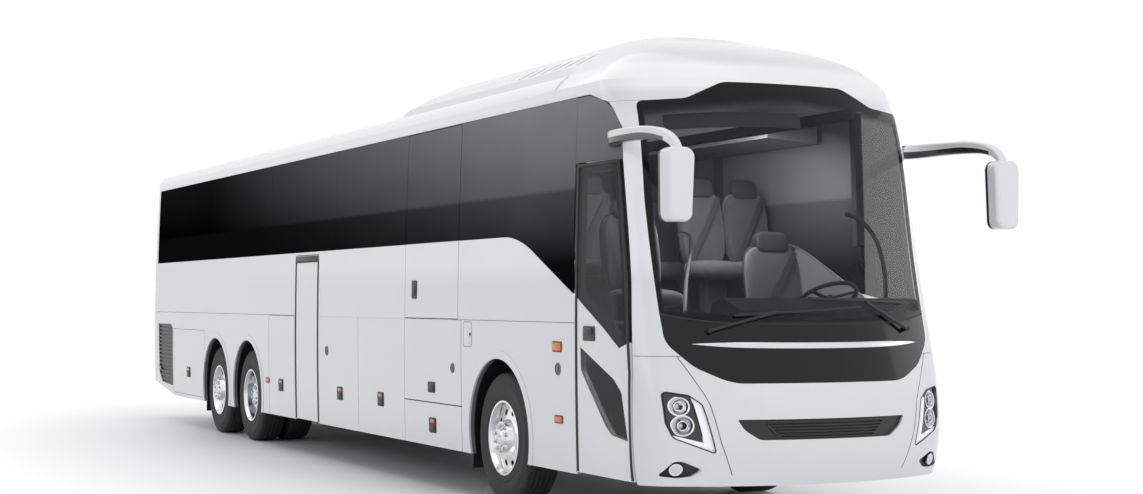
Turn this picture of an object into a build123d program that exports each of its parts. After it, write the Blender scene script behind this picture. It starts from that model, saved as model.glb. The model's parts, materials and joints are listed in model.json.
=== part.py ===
# Three-axle coach, in millimetres. Drawn with X forward from the front axle, Y to the left and Z up from
# the road, then moved so that the origin lies under the middle of its outline.
import os
from math import acos, atan2, cos, pi, sin, sqrt, tan

from build123d import *

# body outline
half_width = 1275
barrel_radius = 34500
barrel_z = 1450
skirt_z = 357
waist_z = 1458
sill_z = 2120
cant_z = 3111
band_z = 3200
crown_z = 3430
cove_y = 1100
cove_z = 3325
rear_x = -12150
rear_radius = 9000
rear_corner = 170
nose_radius = 2226
nose_corner = 350
skin = 45
glass = 10
panel_gap = 8
seam = 4
seat_gap = 0.3
# nose: height, foremost x on the centre line
nose_levels = [(300, 2745), (750, 2850), (1500, 2692), (2330, 2508), (band_z, 2262)]
# cap above the nose: height, half width, foremost x
cap_levels = [(band_z, 1226, 2262), (3330, 1095, 2130), (3450, 920, 1900), (3560, 740, 1500), (3650, 480, 1150)]
cap_seam_x = 970
nose_back_x = cap_seam_x
tail_x = -11800
tail_levels = [(300, rear_x), (1500, rear_x), (band_z, rear_x + 60)]

# axles and wheels
drive_x = -7300
tag_x = -8700
tyre_radius = 522
tyre_width = 295
rim_radius = 298
tyre_outer_y = 1225
twin_pitch = 335
arch_radius = 600
arch_z = 555
liner = 8
king_pin_y = 950
beam_half = 55
beam_drop = 110
drive_tube = 70

# doors
front_door_rear_x = 1430
front_door_top_z = 2615
front_door_bottom_z = 375
door_front_line = [(front_door_bottom_z, 2317), (1120, 2302), (1750, 2208), (front_door_top_z, 2048)]
mid_door = (-5430, -4630)
mid_door_top_z = 2085
mid_door_bottom_z = 370
emergency_door = (-2100, -842)
door_gap = 20

# mirrors
mirror_front_x = 3120
mirror_back_x = 2985

front_axle_x = -(rear_x + mirror_front_x) / 2


def barrel(z):
    return half_width - (barrel_radius - sqrt(barrel_radius ** 2 - (z - barrel_z) ** 2))


def corner(before, at, after, radius):
    "Where the arc that rounds a corner starts, passes and ends."
    (ux, uz), (vx, vz) = [((p[0] - at[0]), (p[1] - at[1])) for p in (before, after)]
    u, v = sqrt(ux * ux + uz * uz), sqrt(vx * vx + vz * vz)
    ux, uz, vx, vz = ux / u, uz / u, vx / v, vz / v
    half = acos(max(-1, min(1, ux * vx + uz * vz))) / 2
    reach, depth = radius / tan(half), radius / sin(half) - radius
    mx, mz = ux + vx, uz + vz
    m = sqrt(mx * mx + mz * mz)
    return [(at[0] + reach * ux, at[1] + reach * uz), (at[0] + depth * mx / m, at[1] + depth * mz / m),
            (at[0] + reach * vx, at[1] + reach * vz)]


def traced(points, place):
    "Closed outline of (a, b) points; a third number is the radius that the corner is rounded by."
    turns = []
    for i, point in enumerate(points):
        radius = point[2] if len(point) > 2 else 0
        turns.append(corner(points[i - 1], point, points[(i + 1) % len(points)], radius) if radius else [point[:2]])
    edges = []
    for i, turn in enumerate(turns):
        if len(turn) > 1:
            edges.append(ThreePointArc(*[place(*p) for p in turn]))
        edges.append(Line(place(*turn[-1]), place(*turns[(i + 1) % len(turns)][0])))
    return make_face(Wire(edges))


def prism(points, along, start, end):
    "Straight prism: points are the two other coordinates in order, (y, z), (x, z) or (x, y)."
    at = {"x": lambda a, b: (start, a, b), "y": lambda a, b: (a, start, b), "z": lambda a, b: (a, b, start)}[along]
    way = {"x": (1, 0, 0), "y": (0, 1, 0), "z": (0, 0, 1)}[along]
    return extrude(traced(points, at), amount=end - start, dir=way)


def block(x, y, z):
    "Box from three (low, high) pairs."
    return Pos((x[0] + x[1]) / 2, (y[0] + y[1]) / 2, (z[0] + z[1]) / 2) * Box(x[1] - x[0], y[1] - y[0], z[1] - z[0])


def rod(a, b, radius):
    "Round bar from one point to another."
    a, b = Vector(*a), Vector(*b)
    return extrude(Plane(a, z_dir=b - a) * Circle(radius), amount=(b - a).length)


def across(x, z, y, radius):
    "Round bar along Y between two y values."
    return rod((x, y[0], z), (x, y[1], z), radius)


def other_side(shape):
    return mirror(shape, about=Plane.XZ)


def group(shapes):
    found = []
    for shape in shapes:
        found += shape.solids()
    return Compound(children=found)


def save(name, shape):
    solids = shape.solids()
    placed = Compound(children=solids) if len(solids) > 1 else solids[0]
    export_step(placed.moved(Location((front_axle_x, 0, 0))), f"parts/{name}.step")


def corner_arcs(z, w, tip, big, small, way):
    "Arcs round one end of the body seen from above: the corner on the left, the end and the corner on the right."
    mid = tip - way * big
    edge = mid + way * sqrt((big - small) ** 2 - (w - small) ** 2)
    turn = atan2(w - small, abs(edge - mid))
    half = (pi / 2 + turn) / 2
    meet = (mid + way * big * cos(turn), big * sin(turn))
    bend = (edge + way * small * cos(half), w - small + small * sin(half))
    return edge, [ThreePointArc((edge, w, z), (*bend, z), (*meet, z)),
                  ThreePointArc((*meet, z), (tip, 0, z), (meet[0], -meet[1], z)),
                  ThreePointArc((meet[0], -meet[1], z), (bend[0], -bend[1], z), (edge, -w, z))]


def end_plan(z, w, tip, big, small, way, back):
    edge, arcs = corner_arcs(z, w, tip, big, small, way)
    return make_face(Wire([*arcs, Line((edge, -w, z), (back, -w, z)), Line((back, -w, z), (back, w, z)),
                           Line((back, w, z), (edge, w, z))]))


def nose(inset):
    "The front end as a solid, drawn in by inset all round."
    return loft([end_plan(z, barrel(z) - inset, front - inset, nose_radius - inset, nose_corner - inset, 1, nose_back_x)
                 for z, front in nose_levels])


def tail(inset):
    return loft([end_plan(z, barrel(z) - inset, rear + inset, rear_radius - inset, rear_corner - inset, -1, tail_x + seam)
                 for z, rear in tail_levels])


def band(x, z, depth):
    "Piece of the straight side of the body on the right: x and z spans, and depths from the outer face."
    (x0, x1), (z0, z1), (d0, d1) = x, z, depth
    zm = (z0 + z1) / 2
    lines = [ThreePointArc(*[(x0, d0 - barrel(h), h) for h in (z0, zm, z1)]), Line((x0, d0 - barrel(z1), z1), (x0, d1 - barrel(z1), z1)),
             ThreePointArc(*[(x0, d1 - barrel(h), h) for h in (z1, zm, z0)]), Line((x0, d1 - barrel(z0), z0), (x0, d0 - barrel(z0), z0))]
    return extrude(make_face(Wire(lines)), amount=x1 - x0, dir=(1, 0, 0))


def roof_section(inset, x, length):
    "The roof above the windows as a solid bar along X, drawn in by inset."
    low = cant_z + seam
    w0, w1, cy, cz, top = barrel(low) - inset, barrel(band_z) - inset, cove_y - inset / 2, cove_z - 0.87 * inset, crown_z - inset
    my, mz = (w1 + cy) / 2 + 18, (band_z + cz) / 2 + 8
    base = low - (60 if inset else 0)
    lines = [Line((x, -w0, base), (x, w0, base)), *([Line((x, w0, base), (x, w0, low)), Line((x, -w0, low), (x, -w0, base))] if inset else []),
             Line((x, w0, low), (x, w1, band_z)),
             ThreePointArc((x, w1, band_z), (x, my, mz), (x, cy, cz)), ThreePointArc((x, cy, cz), (x, 0, top), (x, -cy, cz)),
             ThreePointArc((x, -cy, cz), (x, -my, mz), (x, -w1, band_z)), Line((x, -w1, band_z), (x, -w0, low))]
    return extrude(make_face(Wire(lines)), amount=length, dir=(1, 0, 0))


def cap(inset):
    return loft([end_plan(z, w - inset, front - inset, nose_radius - inset, nose_corner - inset, 1, 300)
                 for z, w, front in cap_levels])


nose_outer, nose_glass, nose_inner = nose(0), nose(glass), nose(skin)
nose_shell = nose_outer - nose_inner
nose_pane = nose_outer - nose_glass


def door_front_x(z, shift=0):
    line = door_front_line
    for (z0, x0), (z1, x1) in zip(line, line[1:]):
        if z <= z1:
            return x0 + (x1 - x0) * (z - z0) / (z1 - z0) + shift
    return line[-1][1] + (line[-1][1] - line[-2][1]) * (z - line[-1][0]) / (line[-1][0] - line[-2][0]) + shift


def front_line(z0, z1, shift):
    "Points down the line just ahead of the front door between two heights."
    inside = [z for z, x in door_front_line if z0 < z < z1]
    return [(door_front_x(z, shift), z) for z in [z0, *inside, z1]]


def cut_right(points):
    "What lies on the right side inside an (x, z) outline."
    return prism(points, "y", -1400, -650)


def rect(x, z):
    return [(x[0], z[0]), (x[1], z[0]), (x[1], z[1]), (x[0], z[1])]


arches = [across(x, arch_z, (-1400, 1400), arch_radius) for x in (0, drive_x, tag_x)]
# the sill bends down towards the front door: where the bend turns, its radius, and where it ends
dip_bend = (379, sill_z, 1450)
dip_end = (front_door_rear_x, 1652)

# luggage bays: name, rear x, front x, low z, high z, on the right
bay_edges = [-4630, -3390, -2120, -770]
split_z = 734
right_flaps = [("flap_right_1", bay_edges[0], bay_edges[1], skirt_z, waist_z),
               ("flap_right_2", bay_edges[1], bay_edges[2], skirt_z, waist_z),
               ("flap_right_3_upper", bay_edges[2], bay_edges[3], split_z, waist_z),
               ("flap_right_3_lower", bay_edges[2], bay_edges[3], skirt_z, split_z)]
left_flaps = [("flap_left_1", bay_edges[0], bay_edges[1], skirt_z, waist_z),
              ("flap_left_2", bay_edges[1], bay_edges[2], skirt_z, waist_z),
              ("flap_left_3", bay_edges[2], bay_edges[3], skirt_z, waist_z)]
half_gap = panel_gap / 2

os.makedirs("parts", exist_ok=True)

# ---- side walls: separate skin panels, seams between them
tail_seam_x = tail_x + seam / 2
whole = (0, skin)
lower_z = (skirt_z, waist_z - seam / 2)
upper_z = (waist_z + seam / 2, sill_z)
front_panel_x = front_door_rear_x - panel_gap
rear_rise = prism([(-12400, 200), (-12400, 560), (-12070, 537), (-10800, skirt_z), (-10800, 200)], "y", -1400, 1400)
grille_points = [(-11720, 1300), (-11000, 1300), (-10900, 1250), (-10900, 480), (-11530, 516), (-11670, 643)]
grille_hole = cut_right(grille_points)
dip_rise = 3
dip_cut = cut_right([(0, sill_z + dip_rise), (dip_bend[0], sill_z + dip_rise, dip_bend[2]), dip_end, (dip_end[0], sill_z + 40),
                     (0, sill_z + 40)])

over_bays = (mid_door[1] + panel_gap, emergency_door[0] - panel_gap)
ahead = (emergency_door[1] + panel_gap, front_panel_x)
lip_width, lip_rise = 70, 5


def arch_panel(x, axles):
    "Lower panel over the given axles, with a raised lip round each wheel opening."
    panel = band(x, lower_z, whole)
    for axle in axles:
        span = (axle - arch_radius - lip_width, axle + arch_radius + lip_width)
        panel = panel + (band(span, lower_z, (-lip_rise, skin / 2)) & across(axle, arch_z, (-1400, 0), arch_radius + lip_width))
    return panel - arches


rear_axles = (drive_x, tag_x)
right_panels = [arch_panel((tail_seam_x, mid_door[0] - panel_gap), rear_axles) - rear_rise - grille_hole,
                arch_panel((bay_edges[3] + panel_gap, front_panel_x), (0,)),
                band((tail_seam_x, mid_door[0] - panel_gap), upper_z, whole),
                band(over_bays, (waist_z, sill_z), whole), band(ahead, upper_z, whole) - dip_cut,
                band((mid_door[0] - panel_gap + seat_gap, mid_door[1] + panel_gap - seat_gap), (mid_door_top_z + panel_gap, sill_z), whole)]
save("wall_right", group(right_panels))

slat_pitch = 52
grille = band((-11740, -10880), (470, 1310), (6, 30)) & grille_hole
for i in range(15):
    z = 520 + i * slat_pitch
    grille = grille - band((-11660, -10940), (z, z + 26), (0, 20))

lap = 22
left_rear = (tail_seam_x, bay_edges[0] - panel_gap)
left_ahead = (bay_edges[3] + panel_gap, front_panel_x)
cab_sill_z = 1540
cab_side = [(front_panel_x + seat_gap, skirt_z), *front_line(skirt_z, cab_sill_z, 0), (front_panel_x + seat_gap, dip_end[1])]
left_panels = [arch_panel(left_rear, rear_axles) - rear_rise, arch_panel(left_ahead, (0,)),
               band((tail_seam_x, bay_edges[3]), upper_z, whole) + band((bay_edges[0], bay_edges[3]), (waist_z, sill_z), whole),
               band((bay_edges[3] + seam, front_panel_x), upper_z, whole) - dip_cut,
               (nose_shell & cut_right(cab_side)) - band((front_panel_x - 10, front_panel_x + seam), (skirt_z - 10, dip_end[1] + 10), (-20, lap))]
save("wall_left", other_side(group(left_panels)))

# ---- side glass: one pane between two seams, each side
pane_z = (sill_z + seam, cant_z)
pane_depth = (0, glass)
rear_seams = [tail_x, -9840, -8145, -6410, -4110]
pane_starts = rear_seams + [emergency_door[0] - panel_gap]
panes = [band((a + seam / 2, b - seam / 2), pane_z, pane_depth) for a, b in zip(pane_starts, pane_starts[1:])]
front_dip = cut_right([(0, sill_z + seam), (dip_bend[0], sill_z + seam, dip_bend[2]), (dip_end[0], dip_end[1] + seam),
                       (dip_end[0], sill_z - 800), (0, sill_z - 800)])
pane_split_x = 1390
deep = (dip_end[1] - 40, cant_z)
ahead_pane = band((emergency_door[1] + panel_gap, pane_split_x), deep, pane_depth)
low_rest = cut_right([(-1000, 1400), (0, 1400), (0, sill_z + seam), (-1000, sill_z + seam)])
ahead_pane = ahead_pane - front_dip - low_rest
panes.append(ahead_pane)
front_arc = [(2046, front_door_top_z + panel_gap), (2014, 2844), (1920, 2981), (1804, 3051), (1579, 3104)]
over_door = [(pane_split_x + seam, front_door_top_z + panel_gap), *front_arc, (pane_split_x + seam, 3104)]
panes.append(nose_pane & cut_right(over_door))
left_seams = rear_seams + [-2120, bay_edges[3]]
left_panes = [band((a + seam / 2, b - seam / 2), pane_z, pane_depth) for a, b in zip(left_seams, left_seams[1:])]
left_panes.append(band((bay_edges[3] + seam / 2, pane_split_x), deep, pane_depth) - front_dip - low_rest)
cab_pane = [(pane_split_x + seam, dip_end[1] + 24), *front_line(cab_sill_z + seam, 2600, 0), *front_arc,
            (pane_split_x + seam, 3104)]
left_panes.append(nose_pane & cut_right(cab_pane))
save("side_glass", group(panes + [other_side(pane) for pane in left_panes]))

# ---- rails and posts behind the skin
rail_depth = (skin + seat_gap, skin + 50)
rail_runs_right = [(tail_seam_x, mid_door[0] - 60), (mid_door[1] + 60, emergency_door[0] - panel_gap),
                   (emergency_door[1] + panel_gap, front_panel_x)]
rail_runs_left = [(tail_seam_x, front_panel_x)]
deck_z = 1440
rail_heights = [(deck_z + seat_gap, deck_z + 70), (sill_z - 60, sill_z)]
cant_rail = (3050, cant_z + 25)
rails = [band(run, z, rail_depth) for run in rail_runs_right for z in rail_heights]
rails = [rail - dip_cut for rail in rails]
rails += [band((tail_seam_x, front_panel_x), cant_rail, rail_depth)]
rails += [other_side(band(run, z, rail_depth) - dip_cut) for run in rail_runs_left for z in rail_heights + [cant_rail]]
save("side_rails", group(rails))

post_width = 60
post_z = (sill_z + seat_gap, cant_rail[0] - seat_gap)
post_x_right = [tail_x + 40, -9840, -8145, -6410, -4110, emergency_door[0] - panel_gap - 30, emergency_door[1] + panel_gap + 30]
post_x_left = [tail_x + 40, -9840, -8145, -6410, -4110, -2120, -770]
post_depth = (glass, 70)
posts = [band((x - post_width / 2, x + post_width / 2), post_z, post_depth) for x in post_x_right]
posts += [other_side(band((x - post_width / 2, x + post_width / 2), post_z, post_depth)) for x in post_x_left]
front_post = band((pane_split_x - 34, front_panel_x), (sill_z - 60, post_z[1]), post_depth)
posts += [front_post, other_side(front_post)]
save("window_posts", group(posts))

# ---- roof, cap and pod
def behind(inset):
    "What lies behind the rounded rear end of the roof."
    plan = end_plan(cant_z - 200, barrel(cant_z) - inset, tail_levels[-1][1] + inset, rear_radius - inset, rear_corner - inset, -1, 0)
    return block((rear_x - 100, tail_x), (-1400, 1400), (3000, 3700)) - extrude(plan, amount=900, dir=(0, 0, 1))


roof_block = roof_section(0, rear_x, cap_seam_x - seam / 2 - rear_x)
eaves_cut = prism([(rear_x - 50, 3320), (rear_x + 60, 3320), (rear_x + 210, crown_z + 10), (rear_x - 50, crown_z + 10)], "y", -1400, 1400)
roof_hollow = roof_section(skin, rear_x, 14000) - behind(skin) - eaves_cut.moved(Location((skin, 0, -skin)))
save("roof_shell", roof_block - behind(0) - eaves_cut - roof_hollow)

screen_half = [(0, 3179), (500, 3179, 220), (782, 3051, 180), (1103, 3029, 40), (1117, 2330, 3000), (1100, 1540), (910, 1478), (0, 1450)]
panel_half = [(0, 1450), (910, 1478), (1100, 1540), (1090, 1330, 160), (930, 1165, 300), (700, 1056, 420), (0, 1050)]


def facing(half, x0=1500, x1=2950):
    "Prism along X from the left half of an outline in (y, z), top centre first."
    right = [(-point[0], *point[1:]) for point in half[::-1] if point[0] > 0]
    return prism([point for point in half if point[0] > 0] + right, "x", x0, x1)


screen_hole = facing(screen_half)
panel_hole = facing(panel_half)
head_z = 3034
pod_half = [(0, 3652), (330, 3648), (560, 3625), (760, 3530), (900, 3440), (960, 3360), (0, 3360)]
pod_rear_x = -3050
pod_slope = prism([(pod_rear_x - 10, 3350), (pod_rear_x, 3400), (pod_rear_x + 560, 3660), (pod_rear_x - 10, 3700)], "y", -1300, 1300)
pod = facing(pod_half, pod_rear_x, cap_seam_x - seam / 2) - pod_slope - roof_block
# air slots along the slanted sides of the pod: first x, pitch, width, how far each leans back
slot_x, slot_pitch, slot_width, slot_lean, slot_depth = -420, 225, 34, 120, 14
pod_core = pod.moved(Location((0, slot_depth, -slot_depth / 2)))
for i in range(7):
    x = slot_x + i * slot_pitch
    slot = prism([(x, 3540), (x + slot_width, 3540), (x + slot_width - slot_lean, 3462), (x - slot_lean, 3462)], "y", -1000, -500) - pod_core
    pod = pod - slot - other_side(slot)
save("roof_pod", pod)

cap_wall = cap(0) - cap(skin).moved(Location((0, 0, -skin)))
cap_wall = cap_wall & block((cap_seam_x + seam / 2, 2400), (-1300, 1300), (band_z, 3700))
brow = [(cap_seam_x + seam / 2, cant_z + seam), (1585, cant_z + seam), (1870, head_z), (2600, head_z), (2600, band_z),
        (cap_seam_x + seam / 2, band_z)]
header = nose_shell & prism(brow, "y", -1400, 1400)
save("front_cap", cap_wall + (header - screen_hole))

# ---- front: bumper, pillars, black panel, windscreen, lamps
bumper_top_z = 1240
ahead_of_door = [*front_line(skirt_z, bumper_top_z - seam / 2, panel_gap), (2950, bumper_top_z - seam / 2), (2950, skirt_z)]
lamp_half = [(1145, 1004, 25), (985, 978, 30), (903, 916, 60), (817, 582, 12), (1089, 690, 70), (1130, 790, 80)]
light_bar = [(966, 929), (922, 916), (857, 612), (1088, 664), (1088, 690), (892, 650)]
bowls = [(1047, 902, 66), (1030, 772, 72)]
fog_half = [(1159, 428, 12), (1075, 529, 50), (1020, 529, 50), (889, 473, 12), (953, 426, 50), (1043, 414, 50)]
fog_lamp = (1057, 472, 40)
grille_half = [(0, 810), (683, 813, 8), (636, 740, 120), (530, 673, 90), (0, 664)]
mesh_half = [(0, 800), (505, 800, 20), (395, 684, 60), (0, 680)]


def both(points, x0, x1):
    one = prism(points, "x", x0, x1)
    return one, other_side(one)


lamp_holes = other_side(prism(lamp_half, "x", 2200, 2900)), prism(lamp_half, "x", 2200, 2900)
lamp_holes = lamp_holes[::-1]
grille_slot = facing(grille_half, 2400, 2900)
fog_holes = both(fog_half, 2200, 2900)
bumper = (nose_shell & prism(ahead_of_door, "y", -1400, 1400)) - panel_hole - grille_slot
for hole in (*lamp_holes, *fog_holes):
    bumper = bumper - hole
save("front_bumper", bumper)


def nose_x(y, z):
    "Foremost x of the nose at y and z."
    return max(hit.X for hit, normal in nose_outer.find_intersection_points(Axis((3500, y, z), (-1, 0, 0))))


# each headlamp: a body sunk below the skin, two bowls with a lens ball in each, and a raised light bar
lamp_depth, bar_depth, bowl_drop, ball_radius = 16, 4, 46, 24
lamp_core = nose(lamp_depth) - nose_inner
lamp = lamp_core & lamp_holes[0]
for y, z, radius in bowls:
    x = nose_x(y, z) - lamp_depth
    lamp = lamp - Pos(x + bowl_drop - 8, y, z) * Sphere(radius) + Pos(x - ball_radius, y, z) * Sphere(ball_radius)
lamp = lamp + ((nose(bar_depth) - nose(lamp_depth + 4)) & prism(light_bar, "x", 2200, 2900) & lamp_holes[0])
save("headlamps", group([lamp, other_side(lamp)]))

# lower grille: a sunk panel with a raised mesh frame in the middle and rows of slots; and a fog lamp each side
grille_back = nose(20) - nose_inner
front_grille = (grille_back & grille_slot) + ((nose(12) - nose(24)) & facing(mesh_half, 2400, 2900))
slot_rows, slot_high, slot_step = 5, 9, 21
for i in range(slot_rows):
    z = 692 + slot_step * i
    reach = 380 + 22 * i
    front_grille = front_grille - (block((2400, 2950), (-reach, reach), (z, z + slot_high)) - nose(36))
fog = (nose(34) - nose_inner) & fog_holes[0]
y, z, radius = fog_lamp
fog = fog + (rod((nose_x(y, z) - 60, y, z), (2800, y, z), radius) & (nose(8) - nose_inner))
save("grilles", group([grille, front_grille, fog, other_side(fog)]))

pillar_line = [*front_line(bumper_top_z + seam / 2, front_door_top_z, panel_gap), (front_arc[1][0] + 4, front_arc[1][1]),
               (front_arc[2][0] + 4, front_arc[2][1]), (1870, head_z - seam / 2), (2950, head_z - seam / 2),
               (2950, bumper_top_z + seam / 2)]
pillars = (nose_shell & prism(pillar_line, "y", -1400, 1400)) - screen_hole - panel_hole
save("windscreen_pillars", pillars)
save("nose_panel", nose_shell & panel_hole)
save("windscreen", nose_pane & screen_hole)

# ---- rear end
tail_outer, tail_inner = tail(0), tail(skin)
tail_shell = (tail_outer - tail_inner) & block((rear_x - 50, tail_seam_x - seat_gap), (-1400, 1400), (skirt_z, cant_z))
lid_half_width = 930
lid_z = (640, 1700)
window_half = [(0, 3000), (1000, 3000), (1040, 2960), (1040, 2240), (1000, 2200), (0, 2200)]
rear_window_hole = facing(window_half, rear_x - 100, tail_x + 200)
tail_lamp_half = [(1190, 1560), (1010, 1560), (1010, 1180), (1190, 1180)]
lamp_slots = both(tail_lamp_half, rear_x - 100, tail_x - 60)
lid_hole = block((rear_x - 100, tail_x - 20), (-lid_half_width, lid_half_width), lid_z)
rear_wall = tail_shell - rear_rise - rear_window_hole - lid_hole
for slot in lamp_slots:
    rear_wall = rear_wall - slot
rear_wall = rear_wall + block((rear_x, rear_x + 30), (-250, 250), (lid_z[1], lid_z[1] + 12))
save("rear_wall", rear_wall)
save("rear_window", (tail(2) - tail(2 + glass)) & rear_window_hole)
save("tail_lamps", group([tail_shell & slot for slot in lamp_slots]))
lid = (tail(2) - tail_inner) & block((rear_x - 100, tail_x - 20), (-lid_half_width + panel_gap, lid_half_width - panel_gap),
                                     (lid_z[0] + panel_gap, lid_z[1] - panel_gap))
for i in range(7):
    lid = lid - block((rear_x - 50, tail_x), (-620, 620), (800 + 60 * i, 824 + 60 * i))
lid_axis_x, lid_axis_z, lid_bar = rear_x + 4, lid_z[1] - panel_gap / 2, panel_gap / 2 - seat_gap
lid = lid + rod((lid_axis_x, -250, lid_axis_z), (lid_axis_x, 250, lid_axis_z), lid_bar)
lid = lid + block((lid_axis_x, rear_x + 30), (-250, 250), (lid_z[1] - panel_gap - 2, lid_axis_z))
save("engine_lid", lid)

# ---- luggage flaps, each hung on a hinge bar along its top outer edge
flap_depth = (0, skin - 5)
hinge_drop = panel_gap / 2
hinge_bar = hinge_drop - seat_gap
for name, x0, x1, z0, z1 in right_flaps + left_flaps:
    low = z0 if z0 == skirt_z else z0 + half_gap
    under = z1 == split_z
    top = z1 - panel_gap - (2 if under else 0)
    axis_z = top + (3 if under else hinge_drop)
    bar_end = bay_edges[3] + panel_gap - seat_gap if under else x1 - half_gap
    flap = band((x0 + half_gap, x1 - half_gap), (low, top), flap_depth)
    flap = flap + rod((x0 + half_gap, -barrel(axis_z), axis_z), (bar_end, -barrel(axis_z), axis_z), 2.7 if under else hinge_bar)
    flap = flap + block((x0 + half_gap, x1 - half_gap), (-barrel(axis_z), 3 - barrel(axis_z)), (top - 1, axis_z))
    save(name, flap if "right" in name else other_side(flap))

# ---- emergency door
leaf_x = (emergency_door[0], emergency_door[1] - half_gap)
leaf_z = (waist_z + panel_gap, cant_z - panel_gap)
rim_w = 60
leaf = band(leaf_x, (leaf_z[0], sill_z), whole) + (band(leaf_x, (sill_z, leaf_z[1]), (glass, skin))
                                                  - band((leaf_x[0] + rim_w, leaf_x[1] - rim_w), (sill_z + 40, leaf_z[1] - rim_w), (0, 90)))
save("emergency_door", leaf)
save("emergency_glass", band(leaf_x, (sill_z + seam, leaf_z[1]), pane_depth))

# ---- front and middle doors, each carried on a turning post with two arms
step_z = 400
cab_floor_z = 960
arm_heights = (620, 1316)
arm_thick = 50
lug_thick = 16
post_top_z = 1500
hinge_y = -1120
front_post_x, front_lug_x = 2190, 1630
mid_post_x, mid_lug_x = mid_door[0] + 80, mid_door[0] + 560


def door_arm(post_x, lug_x):
    shape = rod((post_x, hinge_y, step_z + seat_gap), (post_x, hinge_y, post_top_z), 24)
    for z in arm_heights:
        shape += block(sorted((post_x, lug_x)), (hinge_y - 20, hinge_y + 20), (z - arm_thick / 2, z + arm_thick / 2))
        shape += rod((lug_x, hinge_y, z - arm_thick / 2), (lug_x, hinge_y, z + arm_thick / 2), 24)
    return shape


def door_lugs(lug_x):
    lugs = []
    for z in arm_heights:
        for low in (z - arm_thick / 2 - seat_gap - lug_thick, z + arm_thick / 2 + seat_gap):
            lugs.append(block((lug_x - 24, lug_x + 24), (-half_width + skin / 2, hinge_y + 20), (low, low + lug_thick)))
    return lugs


save("front_door_arm", door_arm(front_post_x, front_lug_x))
save("mid_door_arm", door_arm(mid_post_x, mid_lug_x))
leaf_shift = panel_gap - door_gap
leaf_rear_x = front_door_rear_x - leaf_shift
leaf_outline = [(leaf_rear_x, front_door_bottom_z), *front_line(front_door_bottom_z, front_door_top_z, leaf_shift),
                (leaf_rear_x, front_door_top_z)]
# the upper pane covers the frame down to a slanted lower edge; the frame behind it is open inside its border
pane_foot = [(leaf_rear_x, 1648), (1895, 1421), (2132, 1288, 70)]
border = 70
upper_pane = [*pane_foot, *front_line(1330, front_door_top_z, leaf_shift), (leaf_rear_x, front_door_top_z)]
upper_open = [(leaf_rear_x + border, 1690), (1900, 1505), (2110, 1390, 40), *front_line(1440, front_door_top_z - border, leaf_shift - border),
              (leaf_rear_x + border, front_door_top_z - border)]
lower_pane = [(1513, 1284), (2045, 1071, 60), (2160, 985, 60), (2250, 650), (1999, 678, 60), (1916, 727, 40), (1521, 1114, 60)]
pane_raise = [(leaf_rear_x, pane_foot[0][1] + seam), (1895, 1421 + seam), (2132, 1288 + seam, 70)]
front_leaf = (nose_shell & prism(leaf_outline, "y", -1400, -650)) - ((nose_outer - nose(glass + seat_gap)) & cut_right(upper_pane))
front_leaf = front_leaf - cut_right(upper_open) - cut_right(lower_pane)
for lug in door_lugs(front_lug_x):
    front_leaf = front_leaf + lug
save("front_door", front_leaf)
door_pane = nose(4) - nose(4 + glass)
save("front_door_glass", group([nose_pane & cut_right(pane_raise + upper_pane[3:]), door_pane & cut_right(lower_pane)]))
mid_leaf = band(mid_door, (mid_door_bottom_z, mid_door_top_z), whole)
for lug in door_lugs(mid_lug_x):
    mid_leaf = mid_leaf + lug
save("mid_door", mid_leaf)

# ---- floors, bulkheads and frame
stair_back_x = mid_door[0] - 12
bay_x = (mid_door[1] + 15, bay_edges[3] - 15)
deck_thick = 40
inside_y = barrel(skirt_z) - skin
deck_y = barrel(deck_z) - skin - 2 * seat_gap
stair_y = -340
deck_front_x = 900
deck = [block((tail_x + 20, mid_door[0] - 10), (-deck_y, deck_y), (deck_z - deck_thick, deck_z)),
        block((mid_door[0] - 10 + seat_gap, mid_door[1] + 10 - seat_gap), (stair_y, deck_y), (deck_z - deck_thick, deck_z)),
        block((mid_door[1] + 10, deck_front_x), (-deck_y, deck_y), (deck_z - deck_thick, deck_z))]

tread = 30
stairs = []
for i, (y0, y1, z) in enumerate([(-inside_y + 4, -880, step_z), (-880, -700, 660), (-700, -520, 920), (-520, stair_y, 1180)]):
    stairs.append(block((stair_back_x + seat_gap, bay_x[0] - seat_gap), (y0 + (seat_gap if i else 0), y1), (step_z - tread, z)))
for i, (y0, y1, z) in enumerate([(-inside_y + 30, -760, step_z), (-760, -500, 640), (-500, -240, 880)]):
    stairs.append(block((front_door_rear_x + 10, 2180), (y0 + (seat_gap if i else 0), y1), (step_z - tread, z)))
stairs[-1] = stairs[-1] + block((front_door_rear_x + 10, 2180), (-240 - tread, -240), (step_z - tread, cab_floor_z))

cab_floor = [block((deck_front_x + seat_gap, 2350), (-240 + seat_gap, 900), (cab_floor_z - deck_thick, cab_floor_z)),
             block((deck_front_x + seat_gap, 2000), (900 + seat_gap, 1200), (cab_floor_z - deck_thick, cab_floor_z)),
             block((deck_front_x - 30, deck_front_x), (-deck_y + 20, deck_y - 20), (cab_floor_z - deck_thick, deck_z - deck_thick - seat_gap)),
             block((deck_front_x + seat_gap, front_door_rear_x - 20), (-deck_y + 20, -240), (1160, 1200))]
save("floor_deck", group(deck + stairs + cab_floor))

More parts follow.
